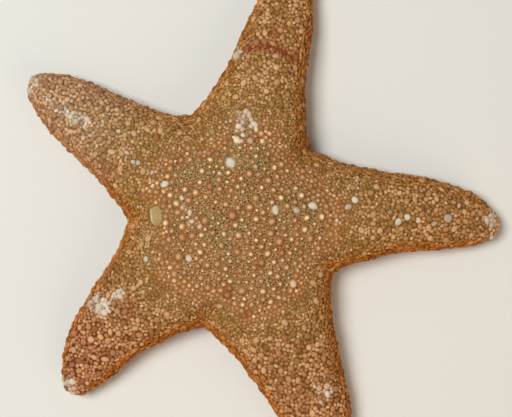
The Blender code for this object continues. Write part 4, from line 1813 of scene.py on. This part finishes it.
@dataclass
class Coat:
    """All the knobs, beads, grains, granules and pores over the skin."""

    skin: Skin
    sites: Sites
    uneven_heights: Pair = (0.88, 1.12)
    tallest: float = 0.86 * MM
    share_ahead: float = 0.7
    flank_slope: Pair = (0.92, 0.6)
    flank_turn: float = 4.0
    flank_stretch: float = 0.12
    boss: float = 0.6
    wornsheen_share: float = 0.5
    uneven_blush: Pair = (0.6, 1.2)
    lone_blush: float = 0.5
    lone_blush_chance: float = 0.05
    dulling: float = 0.5
    dull_ground: Pair = (0.9, 0.5)
    pore_slope: float = 0.3
    pore_vent_gap: float = 0.75 * MM
    furrow_half: float = 2.2 * MM
    furrow_slope: float = 0.2
    furrow_level: float = 7.0 * MM

    def __post_init__(self) -> None:
        """Set the sites on the skin as it now stands."""
        self.random = np.random.default_rng(23)
        self.sites.points, self.sites.normals, _ = self.skin.nearest(self.sites.points)

    def build(self) -> None:
        """Make every layer."""
        bead, grain = CoatFinish("bead_enamel"), CoatFinish("grain_enamel")
        disc, arm = "disc_skin", "arm_skin"
        mixed, dim = (0.05, 0.5), (-0.35, 0.3)
        for kind, layer, height, stretch in (
            (Kind.KNOB, Layer("worn_knobs", POLISHED_DOME, bead, disc, 1.3 * MM, 0.7 * MM), 0.5, 0.25),
            (Kind.BEAD, Layer("disc_beads", MOUND_BEAD, bead, disc, 1.4 * MM, 0.35 * MM), 0.8, 0.1),
            (Kind.LUMP, Layer("arm_cobbles", SOFT_LUMP, grain, arm, 1.2 * MM, 0.55 * MM, mixed), 0.78, 0.2),
            (Kind.GRAIN, Layer("flank_grains", FILLER_DOME, grain, arm, 1.1 * MM, 0.5 * MM, dim), 0.85, 0.2),
            (Kind.SOLE, Layer("sole_granules", GRAIN_DOME, grain, arm, 1.2 * MM, 0.4 * MM), 0.6, 0.2),
        ):
            self.layer_of(kind, layer, height, stretch)
        rim = CoatFinish("pore_rim_skin", specular=0.1)
        # Rims round the pores, their pits painted dark as shade.
        rims = Layer("pore_rims", PORE_RIM, rim, disc, 0.8 * MM, 0.12 * MM)
        specks = Layer("specks", SPECK_DOME, CoatFinish("speck_enamel"), arm, 0.6 * MM, 0.08 * MM, dim)
        pores = Small(0.76 * MM, 8, 1.3, (0.0, 1.0), (0.2, 0.65), (0.28, 0.5), 0.6, stretch=(0.8, 1.2))
        self.fill_gaps(rims, pores, 41, self.is_porous)
        self.fill_gaps(
            specks, Small(0.62 * MM, 9, 1.0, (0.9, 0.1), (0.1, 0.5), (0.18, 0.32), 0.8), 43, self.is_bare
        )

    def layer_of(self, kind: Kind, layer: Layer, height: float, stretch: float) -> None:
        """Make the layer of one kind of sites.

        Args:
            kind: Kind of the sites.
            layer: Layer to make.
            height: Height of a piece as a share of its radius.
            stretch: How far pieces may be drawn out of round.
        """
        sites = self.sites.chosen(self.sites.kind == kind.value)
        count = len(sites)
        drawn = np.exp(self.random.uniform(-stretch, stretch, count))
        heads = self.random.normal(size=(count, 3))
        if kind in (Kind.LUMP, Kind.GRAIN):
            flank = smoothstep(sites.normals[:, 2], *self.flank_slope)
            level = unit(np.cross(sites.normals, UP))
            heads = mix(heads, self.flank_turn * level, flank[:, None])
            drawn *= 1.0 + self.flank_stretch * flank
        tall = sites.radius * height * self.random.uniform(*self.uneven_heights, count)
        tall = np.minimum(tall, self.tallest)
        tall = np.minimum(tall, self.share_ahead * self.room_ahead(sites))
        sizes = np.column_stack((sites.radius * drawn, sites.radius / drawn, tall))
        marks = self.skin.marks(sites.points, sites.normals)
        marks["worn"] = np.maximum(sites.worn, self.wornsheen_share * marks["worn"])
        marks["boss"] = np.full(count, self.boss)
        marks["blush"] *= self.random.uniform(*self.uneven_blush, count)
        lone = self.lone_blush * (self.random.random(count) < self.lone_blush_chance)
        marks["blush"] = np.maximum(marks["blush"], lone)
        if kind is Kind.BEAD:
            where = self.skin.plan.locate(sites.points, sites.normals)
            marks["dull"] = self.dulling * smoothstep(self.skin.markings.open(where), *self.dull_ground)
        layer.build(self.skin, sites.points, sites.normals, sizes, marks, 31 + kind.value, heads)

    def room_ahead(self, sites: Sites) -> Array:
        """Distance from each site to the side of the frame's box that it faces."""
        ahead = np.where(sites.normals > 0.0, CAD_HIGH - sites.points, sites.points - CAD_LOW)
        return np.min(ahead / np.maximum(np.abs(sites.normals), 0.05), axis=1)

    def is_porous(self, where: Where) -> Array:
        """True for each place where pores may open: on the upper side, clear of the vent."""
        return (where.up > self.pore_slope) & ~self.skin.markings.by_vent(where, self.pore_vent_gap)

    def is_bare(self, where: Where) -> Array:
        """True for each place that doesn't lie in a furrow."""
        aside = (np.abs(where.across) > self.furrow_half) | (where.up > self.furrow_slope)
        return aside | (where.height > self.furrow_level)

    def fill_gaps(self, layer: Layer, small: Small, seed: int, allowed: Callable[[Where], Array]) -> None:
        """Make a layer of small pieces in the gaps between all the larger ones.

        Args:
            layer: Layer to make.
            small: How its pieces fill the gaps.
            seed: Seed of their turns and tones.
            allowed: Says where they may lie.
        """
        skin = self.skin
        points, normals = skin.scattered(small.gap, small.density, small.seed)
        where = skin.plan.locate(points, normals)
        near = self.sites.closeness(points, small.reach)
        share = smoothstep(skin.markings.open(where), *small.ground)
        keep = self.random.random(len(points)) < mix(*small.chances, share)
        keep &= (near < small.overlap) & allowed(where)
        keep &= ~Madreporite(skin).covers(points, small.plate_clearance)
        points, normals = points[keep], normals[keep]
        width = self.random.uniform(*small.width, len(points)) * MM
        other = width * self.random.uniform(*small.stretch, len(points)) if small.stretch else width
        marks = skin.marks(points, normals)
        marks["boss"] = self.sites.closeness(points, skin.halo_reach)
        sizes = np.column_stack((width, other, width * small.height))
        layer.build(skin, points, normals, sizes, marks, seed)


# ---- fittings


@dataclass
class Madreporite:
    """Grooved oval sieve plate at the disc's edge, longest across the way to the centre."""

    skin: Skin
    half_long: float = 3.4 * MM
    half_short: float = 2.4 * MM
    crown: float = 0.62 * MM
    sink: float = 0.5 * MM
    grooves: int = 30
    groove_depth: float = 0.11 * MM
    rings: int = 16
    sides: int = 120
    bake_patch: float = 2.0 * BAKE_PATCH

    def __post_init__(self) -> None:
        """Find its middle on the skin, its long and short ways and its normal."""
        low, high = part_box("madreporite")
        places, normals, _ = self.skin.nearest(np.array([(low + high) / 2.0]))
        self.middle, self.normal = places[0], normals[0]
        inward = np.append(self.skin.plan.centre - self.middle[:2], 0.0)
        long_way = np.cross(self.normal, inward)
        self.long_way = long_way / np.linalg.norm(long_way)
        self.short_way = np.cross(self.long_way, self.normal)

    def covers(self, points: Array, clearance: float) -> Array:
        """Which points the plate covers.

        Args:
            points: Rows of three.
            clearance: How far it reaches past its rim.

        Returns:
            True for each point under it or within the clearance.
        """
        away = points - self.middle
        long_share = away @ self.long_way / (self.half_long + clearance)
        short_share = away @ self.short_way / (self.half_short + clearance)
        near = np.linalg.norm(away, axis=1) < 2.0 * self.half_long
        return near & (long_share**2 + short_share**2 < 1.0)

    def faces(self) -> list[tuple[int, ...]]:
        """Faces of a closed dome: a top point, the rings outwards, and last a point below.

        Returns:
            The corners of each face.
        """
        faces = []
        last = 1 + self.rings * self.sides
        for step in range(self.sides):
            following = (step + 1) % self.sides
            faces.append((0, 1 + step, 1 + following))
            for ring in range(self.rings - 1):
                inner = 1 + ring * self.sides
                outer = inner + self.sides
                faces.append((inner + step, outer + step, outer + following, inner + following))
            rim = last - self.sides
            faces.append((rim + step, last, rim + following))
        return faces

    def build(self) -> Object:
        """Make the plate on the skin and dress it.

        Returns:
            The plate, with wavy grooves that run out to its rim.
        """
        middle, normal = self.middle, self.normal
        rings = np.arange(1, self.rings + 1) / self.rings
        turns = math.tau * np.arange(self.sides) / self.sides
        share, angle = (np.append(0.0, grid) for grid in np.meshgrid(rings, turns, indexing="ij"))
        bend = 1.6 * np.sin(9.0 * share)
        wave = 0.5 + 0.5 * np.cos(self.grooves * angle + bend + 0.8 * np.sin(3.0 * angle))
        groove = wave**2 * smoothstep(share, 0.12, 0.4) * smoothstep(share, 1.0, 0.9)
        uneven = 1.0 + 0.05 * np.sin(3.0 * angle + 1.0) + 0.03 * np.sin(5.0 * angle)
        along = share * np.cos(angle) * self.half_long
        aside = share * uneven * np.sin(angle) * self.half_short
        rise = self.crown * np.sqrt(np.maximum(0.0, 1.0 - share**4)) - self.groove_depth * groove
        flat = middle + along[:, None] * self.long_way + aside[:, None] * self.short_way
        ground, _, beside = self.skin.nearest(np.vstack((flat, middle)))
        level = (ground[:-1] - middle) @ normal
        tops = flat + (level + rise - self.sink * smoothstep(share, 0.96, 1.0))[:, None] * normal
        faces = self.faces()
        mesh = bpy.data.meshes.new("madreporite_plate")
        mesh.from_pydata(np.vstack((tops, middle - 2.0 * self.sink * normal)).tolist(), [], faces)
        put_attribute(mesh, "groove", np.append(groove, 0.0))
        put_attribute(mesh, "side", np.append(-aside / self.half_short, 0.0))
        root = self.skin.flat[beside[-1]]
        spots = np.column_stack((along, aside)) / self.half_long * self.bake_patch
        put_bake_map(mesh, np.vstack((root + spots, root)))
        mesh.shade_smooth()
        mesh.materials.append(PlateFinish("sieve_plate").material())
        plate = new_object("madreporite_plate", mesh)
        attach(plate, BODY)
        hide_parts("madreporite")
        LOG.info("madreporite: %d faces", len(faces))
        return plate


@dataclass
class Vent:
    """Small dark opening near the middle of the disc, its dark a painted shade."""

    skin: Skin
    height: float = 0.3 * MM
    roundness: float = 0.9

    def build(self) -> None:
        """Make its rim on the skin."""
        spot = self.skin.markings.vent
        places, normals = self.skin.at_spots((spot,))
        sizes = np.array([(spot.radius * MM, spot.radius * MM * self.roundness, self.height)])
        marks = self.skin.marks(places, normals)
        finish = CoatFinish("vent_skin", specular=0.1)
        layer = Layer("vent_ring", VENT_RIM, finish, "disc_skin", 0.8 * MM, 0.05 * MM)
        layer.build(self.skin, places, normals, sizes, marks, 47)


@dataclass
class Underside:
    """Spines, ridges and jaw plates of the furrows and the mouth, seen from below.

    A size is half-width, half-thickness and length, and a pitch is the spacing along a furrow.
    """

    skin: Skin
    start: float = 9.0 * MM
    end: float = 0.92
    reach: float = 1.04
    narrowing: float = 10.0 * MM
    comb_pitch: float = 0.62 * MM
    comb_across: float = 2.85 * MM
    comb_spine: Triple = (0.24 * MM, 0.2 * MM, 1.75 * MM)
    outer_pitch: float = 1.1 * MM
    outer_across: float = 4.35 * MM
    outer_spine: Triple = (0.42 * MM, 0.3 * MM, 1.35 * MM)
    ridge_pitch: float = 1.15 * MM
    ridge_across: float = 1.15 * MM
    ridge: Triple = (1.05 * MM, 0.42 * MM, 0.5 * MM)
    jaw_radii: tuple[float, ...] = (5.5 * MM, 6.7 * MM, 7.9 * MM, 9.1 * MM)
    jaw_apart: float = 0.72 * MM
    jaw_plate: Triple = (0.7 * MM, 0.66 * MM, 0.5 * MM)
    mouth_radius: float = 5.1 * MM
    mouth_bow: float = 0.01 * MM
    mouth_fan: tuple[float, ...] = (-21.0, -14.0, -7.0, 0.0, 7.0, 14.0, 21.0)
    mouth_spine: Triple = (0.3 * MM, 0.26 * MM, 1.9 * MM)
    dip: float = 0.24
    straying: float = 0.12
    uneven_size: Pair = (0.85, 1.12)
    lump_width: float = 1.0 * MM

    def under(self, flat: Array) -> tuple[Array, Array, Array]:
        """Places on the skin straight above some plan points.

        Args:
            flat: Rows of two.

        Returns:
            The places, the smooth normals there, and which of the plan points they belong to.
        """
        found, kept = [], []
        for index, (x, y) in enumerate(flat.tolist()):
            place, _, _, _ = self.skin.tree.ray_cast(Vector((x, y, -1.0 * MM)), Vector(UP))
            if place is not None:
                found.append(place)
                kept.append(index)
        return *self.skin.nearest(np.array(found))[:2], np.array(kept)

    def rows(self, pitch: float, across: float) -> tuple[Array, Array]:
        """Plan points on both sides of every furrow, and the way to its middle from each.

        Args:
            pitch: Spacing along the furrow.
            across: Distance from its middle.

        Returns:
            Rows of two, and rows of three.
        """
        points, inward = [], []
        for arm in self.skin.plan.arms:
            for along in np.arange(self.start, self.end * arm.length, pitch):
                narrow = min(1.0, (self.reach * arm.length - along) / self.narrowing)
                for side in (-1.0, 1.0):
                    points.append(arm.point(float(along), side * across * narrow))
                    inward.append((*(-side * arm.left), 0.0))
        return np.array(points), np.array(inward)

    def leaning(self, layer: Layer, flat: Array, ways: Array, size: Triple) -> None:
        """Make a layer of spines that lie along the underside.

        Args:
            layer: Layer to make.
            flat: Plan points of their roots.
            ways: Where each points, seen in plan.
            size: Size of a spine.
        """
        random = np.random.default_rng(len(flat))
        places, normals, kept = self.under(flat)
        ways = ways[kept] + random.normal(0.0, self.straying, (len(kept), 3))
        ways[:, 2] = -self.dip
        sizes = np.array(size) * random.uniform(*self.uneven_size, (len(kept), 3))
        marks = self.skin.marks(places, normals)
        layer.build(self.skin, places, unit(ways), sizes, marks, 51, heads=np.cross(ways, UP))

    def standing(self, layer: Layer, flat: Array, ways: Array, size: Triple, seed: int) -> list[Object]:
        """Make a layer of plates that stand on the underside.

        Args:
            layer: Layer to make.
            flat: Plan points of their middles.
            ways: Where the first half-size of each points.
            size: Size of a plate.
            seed: Seed of their tones.

        Returns:
            The layer's pieces.
        """
        places, normals, kept = self.under(flat)
        sizes = np.tile(size, (len(kept), 1))
        marks = self.skin.marks(places, normals)
        return layer.build(self.skin, places, normals, sizes, marks, seed, heads=ways[kept])

    def layer(self, name: str, shape: Turned, finish: str, slot: str, lump_height: float) -> Layer:
        """A layer of the underside, with the unevenness that they all have."""
        return Layer(name, shape, CoatFinish(finish), slot, self.lump_width, lump_height)

    def build(self) -> None:
        """Make the furrows' combs, outer spines and ridges, and the mouth's jaws."""
        combs = self.layer("furrow_combs", BLUNT_SPINE, "spine_enamel", "arm_skin", 0.1 * MM)
        spines = self.layer("furrow_spines", BLUNT_SPINE, "spine_enamel", "arm_skin", 0.2 * MM)
        ridges = self.layer("furrow_ridges", SOFT_LUMP, "furrow_plates", "arm_skin", 0.2 * MM)
        self.leaning(combs, *self.rows(self.comb_pitch, self.comb_across), self.comb_spine)
        self.leaning(spines, *self.rows(self.outer_pitch, self.outer_across), self.outer_spine)
        self.standing(ridges, *self.rows(self.ridge_pitch, self.ridge_across), self.ridge, 53)
        self.build_mouth()

    def build_mouth(self) -> None:
        """Make five jaws, each a double row of plates with a fan of spines over the mouth."""
        centre = self.skin.plan.centre
        bearings = sorted(math.atan2(*arm.direction[::-1]) for arm in self.skin.plan.arms)
        plates, plate_ways = [], []
        roots, ways = [], []
        for first, second in zip(bearings, bearings[1:] + [bearings[0] + math.tau]):
            middle = (first + second) / 2.0
            out = np.array((math.cos(middle), math.sin(middle)))
            left = np.array((-out[1], out[0]))
            for radius, side in product(self.jaw_radii, (-1.0, 1.0)):
                plates.append(centre + out * radius + left * side * self.jaw_apart)
                plate_ways.append((*out, 0.0))
            for turn in self.mouth_fan:
                bearing = middle + math.radians(turn)
                way = np.array((math.cos(bearing), math.sin(bearing)))
                roots.append(centre + way * (self.mouth_radius + abs(turn) * self.mouth_bow))
                ways.append((*-way, 0.0))
        jaws = self.layer("jaw_plates", SOFT_LUMP, "jaw_enamel", "mouth_plates", 0.2 * MM)
        pieces = self.standing(jaws, np.array(plates), np.array(plate_ways), self.jaw_plate, 57)
        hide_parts("mouth_frame")
        fan = self.layer("mouth_spines", BLUNT_SPINE, "mouth_spine_enamel", "mouth_plates", 0.1 * MM)
        self.leaning(fan, np.array(roots), np.array(ways), self.mouth_spine)


# ---- stage


@dataclass(frozen=True)
class Lamp:
    """Soft square light that points at the star."""

    name: str
    place: Triple
    size: float
    power: float
    color: Triple

    def build(self) -> None:
        """Hang it."""
        light = bpy.data.lights.new(self.name, "AREA")
        light.size = self.size
        light.energy = self.power
        light.color = self.color
        item = new_object(self.name, light)
        item.location = self.place
        item.rotation_euler = (-Vector(self.place)).to_track_quat("-Z", "Y").to_euler()


@dataclass
class Stage:
    """Pale floor, soft lights and the camera over the star."""

    plan: Plan
    view_width: float = 174.0 * MM
    floor_half: float = 3.0
    floor_color: Rgba = (0.78, 0.77, 0.75, 1.0)
    floor_roughness: float = 0.85
    sensor: float = 36.0
    nearest: float = 0.01
    key: Lamp = Lamp("key", (-0.42, 0.14, 0.97), 0.45, 9.2, (0.98, 1.0, 0.96))
    fill: Lamp = Lamp("fill", (0.5, -0.6, 0.45), 0.8, 2.6, (1.0, 0.66, 0.36))
    sky_color: Rgba = (1.0, 0.99, 0.97, 1.0)
    sky_strength: float = 0.2

    def build(self) -> None:
        """Make the floor, the lights and the camera."""
        self.add_floor()
        self.key.build()
        self.fill.build()
        world = bpy.data.worlds.new("studio")
        world.use_nodes = True
        sky = {"Color": self.sky_color, "Strength": self.sky_strength}
        NodeMaker(world.node_tree).fill(world.node_tree.nodes["Background"], sky)
        bpy.context.scene.world = world
        bpy.context.scene.view_settings.view_transform = "Standard"
        self.add_camera()

    def add_floor(self) -> None:
        """Plain pale floor at the star's lowest level."""
        corners = [(x * self.floor_half, y * self.floor_half, 0.0) for x, y in SQUARE]
        mesh = bpy.data.meshes.new("floor")
        mesh.from_pydata(corners, [], [range(4)])
        floor = new_object("floor", mesh)
        material = bpy.data.materials.new("pale_floor")
        material.use_nodes = True
        look = {"Base Color": self.floor_color, "Roughness": self.floor_roughness}
        NodeMaker(material.node_tree).fill(material.node_tree.nodes["Principled BSDF"], look)
        mesh.materials.append(material)

    def add_camera(self) -> None:
        """Camera straight over the star."""
        lens = bpy.data.cameras.new("camera")
        lens.sensor_fit = "HORIZONTAL"
        lens.sensor_width = self.sensor
        lens.lens = self.sensor * OVERHEAD.height / self.view_width
        lens.clip_start = self.nearest
        item = new_object("camera", lens)
        item.location = OVERHEAD.point(self.plan.centre)
        bpy.context.scene.camera = item


def main() -> None:
    """Build the star and its stage."""
    logging.basicConfig(level=logging.INFO, format="%(message)s")
    plan = Plan()
    skin = Skin(plan, Markings())
    LOG.info("skin: %d triangles", len(skin.triangles))
    coat = CoatPlan(skin)
    skin.shape_relief(coat.sites.chosen(coat.sites.kind != Kind.SOLE.value))
    Coat(skin, coat.sites).build()
    Madreporite(skin).build()
    Vent(skin).build()
    Underside(skin).build()
    cover = skin.build(SkinFinish("porous_skin"))
    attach(cover, BODY)
    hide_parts(*(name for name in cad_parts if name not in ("madreporite", "mouth_frame")))
    Stage(plan).build()


if __name__ == "__main__":
    main()
